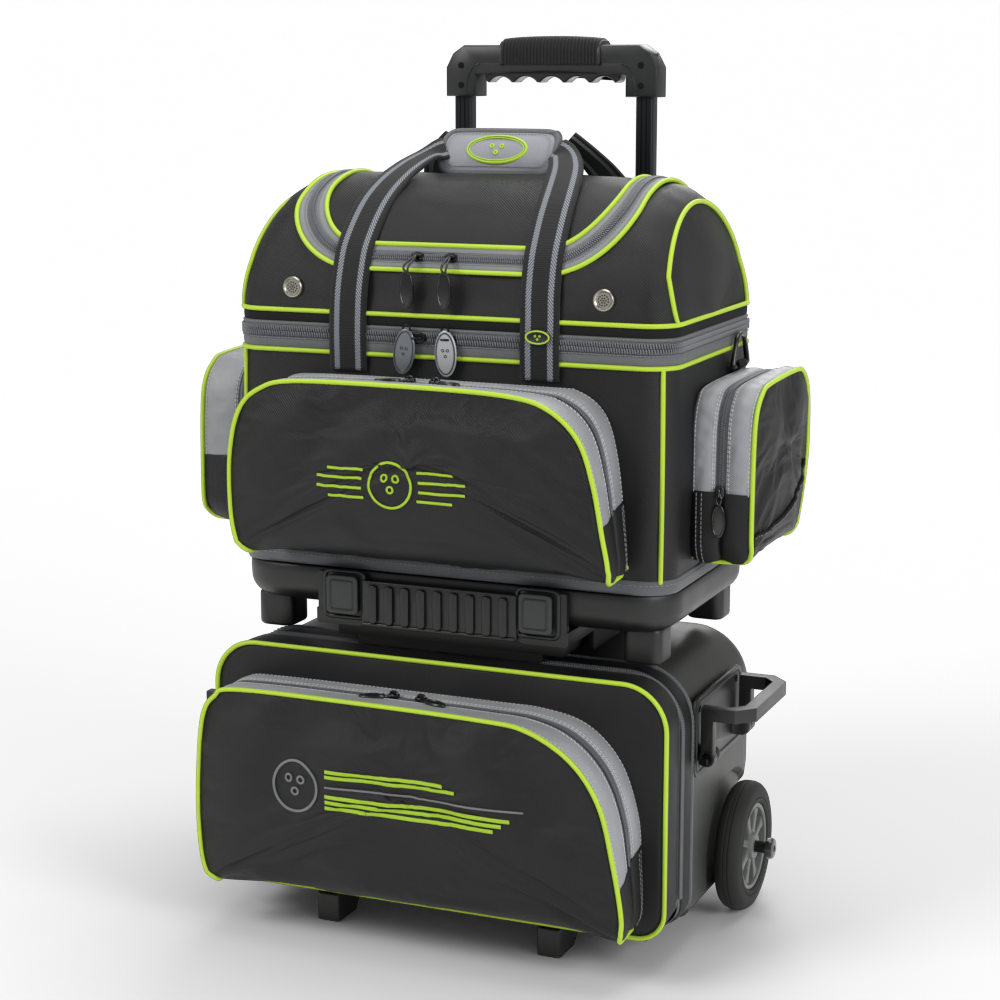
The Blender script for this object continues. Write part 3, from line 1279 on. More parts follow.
def dome_end(angle):
    """Half width and end rounding at an angle."""
    rise = np.sin(np.radians(np.clip(angle, 0, 180)))
    return 221.0 - 3.0 * rise, 30.0 + 32.0 * rise ** 1.6


def dome(angle, x, lift=0.0):
    """Points and normals on the dome, lifted off it."""
    angle, x = np.broadcast_arrays(np.asarray(angle, float), np.asarray(x, float))
    arc = np.radians(np.clip(angle, 0, 180))
    cy, cz = -np.cos(arc), np.sin(arc)
    y = DOME_DEPTH * cy
    z = DOME_RISE * cz + np.where(angle < 0, angle, 0) - np.where(angle > 180, angle - 180, 0)
    ny, nz = cy / DOME_DEPTH, cz / DOME_RISE
    size = np.hypot(ny, nz)
    ny, nz = ny / size, nz / size
    half, radius = dome_end(angle)
    over = np.clip(np.abs(x) - (half - radius), 0, None)
    bend = over / radius
    sign = np.sign(x)
    x = np.where(over > 0, sign * ((half - radius) + radius * np.sin(bend)), x)
    drop = radius * (1 - np.cos(bend))
    normals = np.stack([sign * np.sin(bend), ny * np.cos(bend), nz * np.cos(bend)], -1)
    points = np.stack([x, DOME_Y + y - ny * drop, DOME_Z + z - nz * drop], -1)
    return points + normals * np.asarray(lift)[..., None], normals


def seam_x(angle):
    """Distance along the width to the end seam."""
    angle_in = np.minimum(np.clip(angle, 0, 180), 180 - np.clip(angle, 0, 180))
    bend = np.radians(72.0 - 24.0 * np.clip(angle_in / 22.0, 0, 1) ** 0.8)
    half, radius = dome_end(angle)
    return (half - radius) + radius * bend


def u_path(offset, count=360):
    """Angles and x of the U-shaped zip, offset mm outside the zipper line."""
    front, half = U_FRONT - offset / MM_PER_DEGREE, U_HALF + offset

    def corner(sign, degrees):
        turns = np.radians(degrees)
        return [(front + U_CORNER - U_CORNER * math.sin(a),
                 sign * (U_CORNER_X + (half - U_CORNER_X) * math.cos(a))) for a in turns]

    path = [(U_END, -half)]
    path += [(angle, -half) for angle in np.linspace(U_END - 4, front + U_CORNER, 30)]
    path += corner(-1, np.linspace(0, 90, 26)[1:])
    path += [(front, x) for x in np.linspace(-U_CORNER_X + 6, U_CORNER_X - 6, 40)]
    path += corner(1, np.linspace(90, 0, 26))
    path += [(angle, half) for angle in np.linspace(front + U_CORNER, U_END, 31)[1:]]
    even = resample(np.array(path) * [MM_PER_DEGREE, 1], count)
    return even[:, 0] / MM_PER_DEGREE, even[:, 1]


def in_u(angle, x, offset):
    """Whether a place is inside the U grown by the offset."""
    front, half = U_FRONT - offset / MM_PER_DEGREE, U_HALF + offset
    x = np.abs(x)
    corner = (((x - U_CORNER_X) / (half - U_CORNER_X)) ** 2
              + ((front + U_CORNER - angle) / U_CORNER) ** 2 < 1)
    sides = np.where(angle > front + U_CORNER, x < half, corner)
    inside = np.where(x <= U_CORNER_X, True, sides)
    return np.where((angle > U_END + offset / MM_PER_DEGREE) | (angle < front), False, inside)


def cell_means(grid):
    return 0.25 * (grid[:-1, :-1] + grid[1:, :-1] + grid[:-1, 1:] + grid[1:, 1:])


def lid_cloth():
    """The dome, its fixed rear part that stays with the tote, and the flap inside the U."""
    angle = np.repeat(np.linspace(LID_LOW, LID_HIGH, 128)[:, None], 170, 1)
    share = np.linspace(-1, 1, 170)
    x = share[None] * seam_x(angle)
    points, _ = dome(angle, x)
    calm = (np.clip((np.abs(share)[None] - 1) / -0.06, 0, 1)
            * np.clip((angle - LID_LOW) / 6, 0, 1))
    rise = (ripple(points, 130, 81) * 1.6 + ripple(points * [0.6, 1, 1], 46, 82) * 0.6) * calm
    # gentle sag between the zip and the waist
    rise = rise - (1.8 * np.exp(-((angle - 10) / 7.0) ** 2)
                   * np.clip(1 - (np.abs(x) / 150) ** 4, 0, 1))
    grid, _ = dome(angle, x, rise)
    mid_angle, mid_x = cell_means(angle), cell_means(x)
    y, z = cell_means(grid[..., 1]), cell_means(grid[..., 2])
    fixed = (y > 116 + (z - 577) * 8 / 73.0) & (z < 650)
    sheet("lid_dome_cloth", grid, "black_cloth", "lid", LID_INSIDE, 2.0,
          cells=~fixed & ~in_u(mid_angle, mid_x, 2.0), replaces=["lid_dome"])
    sheet("tote_rear_cloth", grid, "black_cloth", "tote", LID_INSIDE, 2.0, cells=fixed,
          replaces=["tote_rear_panel"])
    crown = (2.2 * np.clip((angle - 30) / 30, 0, 1) * np.clip((120 - angle) / 40, 0, 1)
             * np.clip(1 - (np.abs(x) / 155) ** 4, 0, 1))
    grid, _ = dome(angle, x, rise * 0.8 + 0.5 + crown)
    sheet("top_flap_cloth", grid, "black_cloth", "flap", LID_INSIDE, 2.0,
          cells=in_u(mid_angle, mid_x, -3.0), replaces=["top_flap"])


def lid_zip():
    """Tapes, piping, coils and stitches of the U-shaped zip."""
    # name, material, body, offsets from the zipper line, lift, rows, thickness
    for name, mat, body, start, stop, lift, rows, thick in (
            ("u_tape_inner", "silver_tape", "flap", -11.5, -3.6, 0.9, 6, 1.2),
            ("u_tape_outer", "silver_tape", "lid", 3.6, 11.5, 0.9, 6, 1.2),
            ("u_zip_inner", "tape_grey", "flap", -5.5, -0.2, 0.5, 4, 1.0),
            ("u_zip_outer", "tape_grey", "lid", 0.2, 5.5, 0.5, 4, 1.0)):
        grid = [dome(*u_path(start + (stop - start) * k), lift + 1.0 * math.sin(math.pi * k))[0]
                for k in np.linspace(0, 1, rows)]
        sheet(name, grid, mat, body, LID_INSIDE, thick)
    halves = (("inner", "flap", -1), ("outer", "lid", 1))
    for name, body, way in halves:
        pipe("u_piping_" + name, dome(*u_path(way * 12.5, 420), 1.7)[0], body)
    zip_coils((("u_coil_inner", "flap"), ("u_coil_outer", "lid")), *dome(*u_path(0, 600), 1.0),
              side=-1, shift=1.05, length=3.0)
    for name, body, way in halves:
        stitches("u_stitch_" + name, [dome(*u_path(way * 5.6, 600), 1.9)], "thread_grey", body,
                 3.4, 2.6)


def lid_ends():
    """Bulging end panels with piped seams."""
    angles = np.linspace(LID_LOW, 181.6, 170)
    for side, sign in SIDES:
        seam, _ = dome(angles, sign * seam_x(angles), -0.3)
        centre = np.array([sign * 221.6, DOME_Y, 598.4])
        rows = []
        for k in np.linspace(1, 0.02, 40):
            row = centre + (seam - centre) * k
            bulge = 4 * k * (1 - k) * 5.5 * np.sin(np.radians(np.clip(angles, 3, 177))) ** 0.6
            row[:, 0] += sign * bulge
            row[:, 0] += sign * ripple(row, 70, 90) * 1.3 * min(1, 6 * (1 - k))
            rows.append(row)
        sheet("lid_end_" + side, rows, "black_cloth", "lid", LID_INSIDE, 2.0)
        pipe("lid_end_piping_" + side, dome(angles, sign * seam_x(angles), 1.0)[0], "lid")


def vents():
    """Rimmed discs with small holes: one in the middle, then rings of 6 and 12."""
    profile = [(0.01, -1.6), (7.2, -1.6), (7.6, -2.1), (8.3, -2.7), (9.4, -2.6), (10.2, -1.7),
               (10.4, -0.6), (10.2, 0.6), (0.01, 0.6)]
    hole = [(0.01, -1.72), (0.85, -1.72), (0.85, -1.2), (0.01, -1.2)]
    holes = [(0, 0)]
    for count, radius, start in ((6, 2.3, 0), (12, 4.8, 0.26)):
        holes += [(radius * math.cos(a), radius * math.sin(a)) for a in start + turn(count)]
    for side, _ in SIDES:
        low, high = box("vent_" + side)
        x, z = (low[0] + high[0]) / 2, (low[2] + high[2]) / 2
        y = high[1] + 1.8
        parts = Parts()
        parts.add(lathe_shape(profile, 48, (x, y, z), "y"))
        for dx, dz in holes:
            parts.add(lathe_shape(hole, 12, (x + dx, y, z + dz), "y"), 1)
        parts.make("vent_cap_" + side, ["nickel", "hole_dark"], "lid",
                   replaces=["vent_" + side], sharp=35)


# ------------------------------------------------------------------ straps
def over_dome(angle, lift=3.2):
    """Y and Z at an angle on the dome's middle, lifted off it."""
    angle = math.radians(angle)
    return (DOME_Y - (DOME_DEPTH + lift) * math.cos(angle),
            DOME_Z + (DOME_RISE + lift) * math.sin(angle))


# Stations of the right-hand strap legs: x, y, z, outward normal, width.
FRONT_LEG = np.array([
    (97, -121.6, 545, 0, -1, 0, 38), (97, -122.0, 560, 0, -1, 0, 38),
    (97, -122.4, 578, 0, -1, 0, 38), (97, *over_dome(0), 0, -1, 0.1, 38),
    (96.5, *over_dome(9), 0, -0.97, 0.25, 38), (96, *over_dome(18), 0, -0.93, 0.4, 38),
    (95.5, *over_dome(27, 4.2), 0, -0.86, 0.5, 38), (94.5, *over_dome(36), 0, -0.78, 0.62, 38),
    (93, *over_dome(46), 0, -0.7, 0.7, 38), (91, *over_dome(56, 4.2), 0, -0.62, 0.78, 37.5),
    (87, -42, 719, 0.05, -0.66, 0.75, 36), (81, -18, 731, 0.16, -0.74, 0.65, 34),
    (73, 1, 739.5, 0.3, -0.82, 0.5, 31), (66, 12, 744, 0.38, -0.86, 0.34, 28),
    (58, 18, 747, 0.4, -0.88, 0.2, 25)])
REAR_LEG = np.array([
    (99, 112, 676, 0, 0.8, 0.6, 38), (97.5, 104, 689, 0, 0.72, 0.7, 38),
    (95, 92, 702, 0, 0.62, 0.78, 37), (91, 78, 715, 0, 0.6, 0.8, 35),
    (85, 64, 728, 0, 0.68, 0.73, 32), (77, 54, 739, 0.1, 0.8, 0.6, 29),
    (68, 48, 748, 0.2, 0.9, 0.4, 26), (60, 44, 755, 0.25, 0.95, 0.25, 24)])


def ribbon(name, stations, mat, body, thick=2.4, step=3.0, slot=None, replaces=()):
    """A strap through stations (x, y, z, normal, width), slightly thinner at its edges."""
    stations = np.asarray(stations, float)
    points = curve(stations[:, :3], step=step)
    given, along = lengths(stations[:, :3]), lengths(points)
    along = along / along[-1] * given[-1]
    extra = [np.interp(along, given, column) for column in stations[:, 3:].T]
    normals, widths = unit(np.stack(extra[:3], 1)), extra[3]
    tangents = unit(np.gradient(points, axis=0))
    wide = unit(np.cross(tangents, normals))
    normals = unit(np.cross(wide, tangents))
    share = np.linspace(-0.5, 0.5, 9)
    grid = points[:, None] + wide[:, None] * (widths[:, None, None] * share[None, :, None])
    grid = grid - normals[:, None] * (0.5 * (np.abs(share) * 2) ** 6)[None, :, None]
    grid = grid + normals[:, None] * thick * 0.5
    middle = len(points) // 2
    verts, faces, _ = sheet_shape(grid, points[middle] - normals[middle] * 300, thick)
    uv = np.stack([np.tile((share * 38.0)[None], (len(points), 1)),
                   np.repeat(along[:, None], len(share), 1)], -1).reshape(-1, 2)
    build(name, (verts, faces, np.vstack([uv, uv])), mat, body, slot=slot, replaces=replaces,
          recalc=True)


def straps():
    for side, sign in SIDES:
        for name, leg in (("strap_front", FRONT_LEG), ("strap_rear", REAR_LEG)):
            ribbon(f"{name}_{side}", leg * [sign, 1, 1, sign, 1, 1, 1], "webbing", name,
                   replaces=[name] if sign > 0 else ())


WRAP_CENTRE = np.array([-3.0, 19.0, 744.5])
WRAP_LEAN = math.radians(30)
# rows: along the width, up the leaning face, out of its front
WRAP_AXES = np.array([[1.0, 0, 0], [0, math.sin(WRAP_LEAN), math.cos(WRAP_LEAN)],
                      [0, -math.cos(WRAP_LEAN), math.sin(WRAP_LEAN)]])
WRAP_HALF_W, WRAP_HALF_H, WRAP_CURL = 59, 22.5, 4.0


def on_wrap(x, z, out, centre=WRAP_CENTRE):
    return centre + np.stack(np.broadcast_arrays(x, z, out), -1) @ WRAP_AXES


def wrap_curl(x, z, half_w=WRAP_HALF_W, half_h=WRAP_HALF_H, curl=WRAP_CURL):
    """How far the pad curls back at a place on it."""
    return -curl * (z / half_h) ** 2 - 0.4 * curl * (x / half_w) ** 4


def pad(name, centre, half_w, half_h, corner, mat, crown, curl, replaces=()):
    """A stuffed pad on the wrap's axes, crowned at the front; returns its outline."""
    thick, rings = 5.0, 16
    outline = rounded_loop(-half_w, -half_h, half_w, half_h, corner, 12, 2.4)
    layers = []
    for side in (1, -1):
        for k in np.linspace(0, 0.96, rings):
            x, z = (outline * (1 - k)).T
            out = thick / 2 + crown * (1 - (1 - k) ** 2.2) if side > 0 else -thick / 2
            layers.append(on_wrap(x, z, out + wrap_curl(x, z, half_w, half_h, curl), centre))
    n = len(outline)
    back = rings * n
    faces = ring_faces(rings, n) + ring_faces(rings, n, start=back, flip=True)
    faces += [tuple(range(back - n, back)), tuple(range(2 * back - n, 2 * back))[::-1]]
    faces += [(j, j + back, (j + 1) % n + back, (j + 1) % n) for j in range(n)]
    verts = np.vstack(layers)
    build(name, (verts, faces, (verts - centre) @ WRAP_AXES[:2].T), mat, "strap_front",
          slot="silver_fabric", replaces=replaces, recalc=True)
    return outline


def handle_wrap():
    """Padded wrap round the straps: front pad, binding, stitches, back pad and the fold
    over the top that joins them."""
    outline = pad("handle_wrap_face", WRAP_CENTRE, WRAP_HALF_W, WRAP_HALF_H, 12.5,
                  "wrap_cloth", crown=3.6, curl=WRAP_CURL, replaces=["handle_wrap"])
    x, z = outline.T
    verts, faces, _ = tube_shape(on_wrap(x, z, 1.2 + wrap_curl(x, z)), 3.4, closed=True)
    build("handle_wrap_binding", (verts, faces, verts[:, [0, 2]]), "binding_grey",
          "strap_front")
    x, z = (outline * [0.9, 0.78]).T
    line = on_wrap(x, z, 4.6 + wrap_curl(x, z))
    stitches("handle_wrap_stitches",
             [(np.vstack([line, line[:1]]), np.tile(WRAP_AXES[2], (len(line) + 1, 1)))],
             "thread_grey", "strap_front", 3.4, 2.6, lift=0.5)
    pad("handle_wrap_back", on_wrap(9, 1.0, -14), 58, 20, 10, "binding_grey", crown=1.0,
        curl=3.0)
    rows = []
    for a in np.linspace(0, math.pi, 9):
        x = np.linspace(-50, 54 + 3 * math.sin(a / 2), 40)
        rows.append(on_wrap(x, 20.5 + 5.0 * math.sin(a), -7 + 7.5 * math.cos(a)))
    sheet("handle_wrap_fold", rows, "binding_grey", "strap_front", on_wrap(0, 0, -7), 2.6,
          slot="silver_fabric")


def handle_wrap_mark():
    """Two oval rings with three small rings inside, in thick thread on the front pad."""
    parts = Parts()
    angles = turn(90)
    for half_w, half_h, radius in ((31.0, 14.6, 1.5), (28.4, 12.2, 0.9)):
        x, z = half_w * np.cos(angles), half_h * np.sin(angles)
        out = 6.1 + wrap_curl(x, z) - 3.6 * ((np.abs(x) / WRAP_HALF_W) ** 2.2)
        shape = tube_shape(on_wrap(x, z, out), radius, closed=True, sides=8, flat=0.6)
        parts.add(shape, uv=shape[2])
    for x, z in ((-5.0, 2.6), (5.0, 2.6), (0, -4.4)):
        shape = ring_shape(on_wrap(x, z, 6.2), WRAP_AXES[0], WRAP_AXES[1], 1.7, 1.7, 0.95, 26)
        parts.add(shape, uv=shape[2])
    parts.make("handle_wrap_mark", ["lime_thread"], "strap_front", recalc=False)


def strap_badge():
    """Small oval badge on the right front leg."""
    centre = np.array([97.0, -125.6, 585.0])
    angles = turn(60)
    oval = np.stack([12.4 * np.cos(angles), 6.8 * np.sin(angles)], 1)
    parts = Parts()
    parts.add(place(slab_shape(oval, -1.4, 1.2, 1.0, "y", 4), centre))
    parts.add(ring_shape(centre + [0, -1.5, 0], X_AXIS, Z_AXIS, 11.2, 5.7, 0.75, 60), 1)
    for x, z in ((-2.2, 1.1), (2.2, 1.1), (0, -1.7)):
        parts.add(ring_shape(centre + [x, -1.5, z], X_AXIS, Z_AXIS, 0.7, 0.7, 0.45, 20, 6), 1)
    parts.make("strap_badge", ["gloss_black", "lime_thread"], "strap_front", slot="badge",
               sharp=40)


# ------------------------------------------------------------------ sliders and pulls
def slider_shape(centre, along, out, length, width, height):
    """A zip slider: a waisted body with a raised bridge."""
    axes = np.stack([along, unit(np.cross(along, out)), out], 0)
    half = [(-length / 2, -width * 0.30), (-length * 0.2, -width / 2),
            (length * 0.2, -width / 2), (length / 2, -width * 0.34)]
    outline = resample(np.array(half + [(x, -y) for x, y in half[::-1]]), step=0.8, closed=True)
    parts = Parts()
    body = slab_shape(outline, -height * 0.5, height * 0.5, 0.9, "z", 3)
    parts.add(place(body, centre, axes=axes))
    bridge = curve([(length * x, 0, height * z) for x, z in (
        (-0.34, 0.3), (-0.26, 0.95), (0, 1.15), (0.26, 0.95), (0.34, 0.3))], step=0.9)
    parts.add(tube_shape(bridge @ axes + centre, 1.2, sides=8))
    return parts.shape()


def add_oval(parts, centre, wide, tall, out, half_w, half_h, thick, rim=0):
    """An oval pull tag and its raised rim, which takes material index `rim`."""
    angles = turn(64)
    oval = np.stack([half_w * np.cos(angles), half_h * np.sin(angles)], 1)
    plate = slab_shape(oval, -thick / 2, thick / 2, thick * 0.42, "z", 4)
    parts.add(place(plate, centre, axes=np.stack([wide, tall, out], 0)))
    parts.add(ring_shape(centre + out * thick * 0.42, wide, tall, half_w * 0.84,
                         half_h * 0.88, thick * 0.3, 56), rim)


def cord_shape(points, radius):
    return tube_shape(curve(np.array(points), step=1.2), radius, sides=8)


def lid_pulls(side, tilt, mat, slider_shift, tag_shift, top_shift):
    """Large tag at the waist zipper and corded tag at the U-shaped zip."""
    low, high = box("main_pull_" + side)
    middle = (low + high) / 2
    wide = np.array([math.cos(tilt), 0, math.sin(tilt)])
    tall = np.array([-math.sin(tilt), 0, math.cos(tilt)])
    centre = middle + [0, 0, 20] - tall * 21.5 + [tag_shift, -1.2, 0]
    parts = Parts()
    add_oval(parts, centre, wide, tall, FORWARD, 11.0, 21.5, 2.6, rim=1)
    for x, z in ((-2.4, 3.0), (2.4, 3.0), (0.0, -2.4)):
        spot = centre + wide * x + tall * z + FORWARD * 1.4
        parts.add(ring_shape(spot, wide, tall, 1.2, 1.2, 0.4, 20), 1)
    parts.add(ring_shape(centre + tall * 21.6, wide, tall, 3.4, 3.6, 1.1), 2)
    parts.make("main_pull_tag_" + side, [mat, "pull_rim", "black_metal"], "main_pull_" + side,
               replaces=["main_pull_" + side], sharp=45)
    seat = np.array([middle[0] + slider_shift, TOTE_LOW[1] - 3.6, 578.4])
    build("waist_slider_" + side, slider_shape(seat, X_AXIS, FORWARD, 17, 10, 4.6),
          "black_metal", "lid", sharp=45, recalc=True)
    low, high = box("top_pull_" + side)
    middle = (low + high) / 2
    seat, out = dome(U_FRONT, middle[0], 2.6)
    build("u_slider_" + side, slider_shape(seat, X_AXIS, out, 12, 8.5, 3.8),
          "black_metal", "lid", sharp=45, recalc=True)
    centre = middle + [top_shift, -1.0, -2]
    parts = Parts()
    add_oval(parts, centre, np.array([1.0, 0, 0.02]), np.array([-0.02, 0, 1.0]), FORWARD,
             7.2, 18.0, 3.2)
    parts.add(cord_shape([centre + [0, 0, 15], centre + [-2.2, -1, 22],
                          seat + out * 3.0 + [0, 0, 1], centre + [2.6, -1, 22],
                          centre + [0.6, 0, 15]], 1.1), 1)
    parts.make("top_pull_tag_" + side, ["gloss_black", "coil_black"], "top_pull_" + side,
               replaces=["top_pull_" + side], sharp=45)


def pocket_pulls(pocket, places):
    """Cord pulls lying on a pocket's top, the first to the left and the second to the right."""
    indices = np.linspace(60, 360, 900)
    line, _ = pocket.point(indices, pocket.zip)
    top = line[:, 2] > line[:, 2].max() - 12
    for j, (x, way) in enumerate(zip(places, (-1, 1))):
        i = int(np.argmin(np.abs(line[:, 0] - x) + (~top) * 1e4))
        seat, along, out = pocket.seat(indices[i], 2.4, 4)
        parts = Parts()
        parts.add(slider_shape(seat, along, out, 11, 8, 3.6))
        tall = unit(np.array([way * 1.0, -0.35, -0.02]))
        wide = unit(np.cross(Z_AXIS, tall))
        tag = seat + tall * 19 + np.array([0, -3.0, 0.6])
        add_oval(parts, tag, wide, tall, Z_AXIS, 6.0, 13.0, 2.6)
        parts.add(cord_shape([tag - tall * 11, tag - tall * 15 + wide * 2, seat + out * 2.5,
                              tag - tall * 15 - wide * 2, tag - tall * 11 + wide * 0.4], 1.0))
        parts.make(f"{pocket.name}_pull_{j + 1}", ["gloss_black"], pocket.name, sharp=45)


def side_pull(pocket, side):
    """Corded tag hanging at the front end of a side pocket's zipper."""
    seat, along, out = pocket.seat(pocket.cuts(pocket.zip)[0] + 2.0, 2.0, 6)
    parts = Parts()
    parts.add(slider_shape(seat, along, out, 12, 8.5, 3.8))
    tag = seat + out * 3.4 + [0, 0, -26.0]
    add_oval(parts, tag, X_AXIS, Z_AXIS, FORWARD, 6.8, 16.0, 2.8)
    parts.add(cord_shape([tag + [0, 0, 14], tag + [-2.2, -0.5, 20], seat + out * 3.2,
                          tag + [2.4, -0.5, 20], tag + [0.5, 0, 14]], 1.05))
    parts.make("side_pull_" + side, ["gloss_black"], pocket.name, sharp=45)


def d_ring(side, sign):
    """Triangular ring on the bag's side and the tab that holds it."""
    (x0, y0, z0), (x1, y1, z1) = box("d_ring_" + side)
    x, y = (x0 + x1) / 2, (y0 + y1) / 2
    wire = curve([[x, y0 + 4, z0 + 2.5], [x, y, z0 + 2.2], [x, y1 - 4, z0 + 2.5],
                  [x, y1 - 2.6, z0 + 6], [x, y1 - 12, z1 - 8], [x, y + 5, z1 - 2.6],
                  [x, y - 5, z1 - 2.6], [x, y0 + 12, z1 - 8], [x, y0 + 2.6, z0 + 6]],
                 step=1.6, closed=True)
    tube("d_ring_wire_" + side, wire, 2.5, "gloss_black", "ring_" + side, closed=True,
         replaces=["d_ring_" + side])
    wall_x = sign * 221.5
    stations = [(wall_x + sign * 1.2, y, 520, sign, 0, 0, 24),
                (wall_x + sign * 1.6, y, 534, sign, 0, 0, 24),
                (wall_x + sign * 5, y, z0 - 1.5, sign, 0, 0, 24),
                (x + sign * 3.6, y, z0 + 1.5, sign, 0, 0.2, 24),
                (x + sign * 2.2, y, z0 + 6.3, sign * 0.2, 0, 1, 24),
                (x - sign * 1.5, y, z0 + 6.0, -sign, 0, 0.6, 24),
                (wall_x + sign * 2.4, y, z0 + 1.0, -sign, 0, 0, 24)]
    ribbon("d_ring_tab_" + side, stations, "black_strip", "tote", thick=1.8, step=1.5,
           slot="webbing")


def pulls(pockets):
    lid_pulls("left", -0.13, "pull_grey", slider_shift=6, tag_shift=-3.0, top_shift=-3.5)
    lid_pulls("right", 0.03, "pull_light", slider_shift=2, tag_shift=2.0, top_shift=0.5)
    pocket_pulls(pockets["tote_pocket"], (-20.0, 6.0))
    pocket_pulls(pockets["lower_pocket"], (-28.0, 0.0))
    for side, sign in SIDES:
        side_pull(pockets["side_pocket_" + side], side)
        d_ring(side, sign)


# ------------------------------------------------------------------ wheels
RIM = 43.4                          # inner radius of the tyre


def tyre_profile(radius, width):
    """(radius, along): bead, wall and tread with two grooves, then the wall mirrored."""
    start = [(RIM, 1.4), (RIM, width - 1.4)]
    flank = [(RIM + 1.4, width - 0.3), (RIM + 4.5, width), (RIM + 5.3, width - 0.9),
             (RIM + 6.1, width), (radius - 7.5, width - 0.4), (radius - 4.2, width - 1.7),
             (radius - 1.6, width - 4.6), (radius - 0.3, width - 8.2)]
    tread = [(radius - cut, width * share) for cut, share in (
        (0, 0.62), (0.9, 0.595), (0.9, 0.575), (0, 0.55),
        (0, 0.45), (0.9, 0.425), (0.9, 0.405), (0, 0.38))]
    return start + flank + tread + [(r, width - along) for r, along in flank[::-1]]


# Hub pieces as (radius, along) from the hub's middle.
HUB_RIM = [(RIM - 0.2, -9.4), (RIM - 0.2, 9.4), (RIM - 0.8, 10.4), (RIM - 2.2, 10.7),
           (39.4, 10.4), (38.7, 9.6), (37.9, -9.6), (38.8, -10.4), (RIM - 2.2, -10.6),
           (RIM - 0.8, -10.3)]
HUB_BOSS = [(6.5, -10.5), (6.5, 12.2), (10.4, 12.4), (12.4, 11.9), (13.2, 10.6), (14.0, 4.0),
            (14.0, -10.5)]
HUB_WEB = [(13.5, -1.2), (13.5, 1.2), (38.4, 1.2), (38.4, -1.2)]
SPOKE = [(12.0, -4.6), (20, -3.4), (30, -3.6), (38.9, -6.4), (38.9, 6.4), (30, 3.6),
         (20, 3.4), (12, 4.6)]
SPOKES = 8


def wheel(side, sign):
    low, high = box("tyre_" + side)
    _, y, z = (low + high) / 2
    inner = min(abs(low[0]), abs(high[0]))
    profile = tyre_profile((high[2] - low[2]) / 2, abs(high[0] - low[0]))
    build("tyre_ring_" + side, place(lathe_shape(profile, 128, (inner, y, z), "x"), flip=sign),
          "tyre", "wheel_" + side, sharp=28, replaces=["tyre_" + side], recalc=True)
    low, high = box("hub_" + side)
    centre = ((abs(low[0]) + abs(high[0])) / 2, y, z)
    parts = Parts()
    for profile in (HUB_RIM, HUB_BOSS, HUB_WEB):
        parts.add(place(lathe_shape(profile, 96, centre, "x"), flip=sign))
    spoke = resample(np.array(SPOKE), step=1.6, closed=True)
    for k in range(SPOKES):
        a = 2 * math.pi * (k + 0.5) / SPOKES
        turned = spoke @ [[math.cos(a), math.sin(a)], [-math.sin(a), math.cos(a)]]
        parts.add(place(slab_shape(turned, -7.0, 8.6, 1.3, "x", 3), centre, sign))
    parts.make("hub_body_" + side, ["hub_grey"], "wheel_" + side, sharp=35,
               replaces=["hub_" + side])
    low, high = box("axle_" + side)
    start, end = sorted((abs(low[0]), abs(high[0])))
    profile = [(0.02, start), (5.9, start)]
    profile += [(radius, end - back) for radius, back in (
        (5.9, 8.2), (9.4, 8.0), (10.2, 7.2), (10.2, 3.0), (9.2, 1.0), (6.5, 0.2), (3.6, 0.1),
        (3.2, 1.2), (0.02, 1.2))]
    build("axle_pin_" + side, place(lathe_shape(profile, 48, (0, y, z), "x"), flip=sign),
          "gloss_black", "case", slot="black_metal", sharp=32, replaces=["axle_" + side],
          recalc=True)


# ------------------------------------------------------------------ bails on the case's sides
HINGE_X, HINGE_Z, LUG_RADIUS, LUG_FOOT_X = 244.0, 188.0, 8.2, 233


def bail_node(side):
    """The bail's node; if it has no such name, the last node named as a side handle."""
    if "bail_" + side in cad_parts:
        return "bail_" + side
    return [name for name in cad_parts
            if "handle" in name and "side" in name and name.endswith(side)][-1]


def bail(side, sign):
    """Grey-rimmed mounting plate with screws, hinge lugs and pins; the bail itself is CAD."""
    front, rear, bottom, top = -72.0, 75.0, 168, 246
    parts = Parts()

    def add(shape, index=0):
        parts.add(place(shape, flip=sign), index)

    outline = rounded_loop(front, bottom, rear, top, 11, 8, 3)
    add(slab_shape(outline, 230.6, 234.3, 1.5, "x", 4))
    rim = rounded_loop(front + 5, bottom + 5, rear - 5, top - 5, 7, 8, 2.5)
    add(tube_shape(np.c_[np.full(len(rim), 234.5), rim], 1.5, closed=True, sides=8), 1)
    screw = [(0.02, 233.8), (3.8, 233.8), (3.8, 235.2), (2.9, 235.9), (0.02, 236.0)]
    for y in (-56, 59):
        for z in (180, 234):
            add(lathe_shape(screw, 24, (0, y, z), "x"), 2)
    foot, tip = ([(x, HINGE_Z + way * LUG_RADIUS) for x in (LUG_FOOT_X, HINGE_X)]
                 for way in (-1, 1))
    arc = [(HINGE_X + LUG_RADIUS * math.cos(t), HINGE_Z + LUG_RADIUS * math.sin(t))
           for t in np.linspace(-1.4, 1.4, 14)]
    lug = resample(np.array(foot + arc + tip[::-1]), step=1.2, closed=True)
    for start, end in ((-51.5, -44.5), (47.5, 54.5)):
        add(slab_shape(lug, start, end, 0.9, "y", 3))
    for y in (-60, 63):
        pin = [(0.02, y - 15), (3.9, y - 15), (3.9, y + 15), (0.02, y + 15)]
        add(lathe_shape(pin, 24, (HINGE_X, 0, HINGE_Z), "y"), 2)
    parts.make("bail_mount_" + side, ["black_plastic", "pad_grey", "black_metal"], "case",
               sharp=35)
    finish_cad("side_plate_" + side, 0.8, "black_plastic")
    finish_cad(bail_node(side), 4.2, "black_plastic", 5)


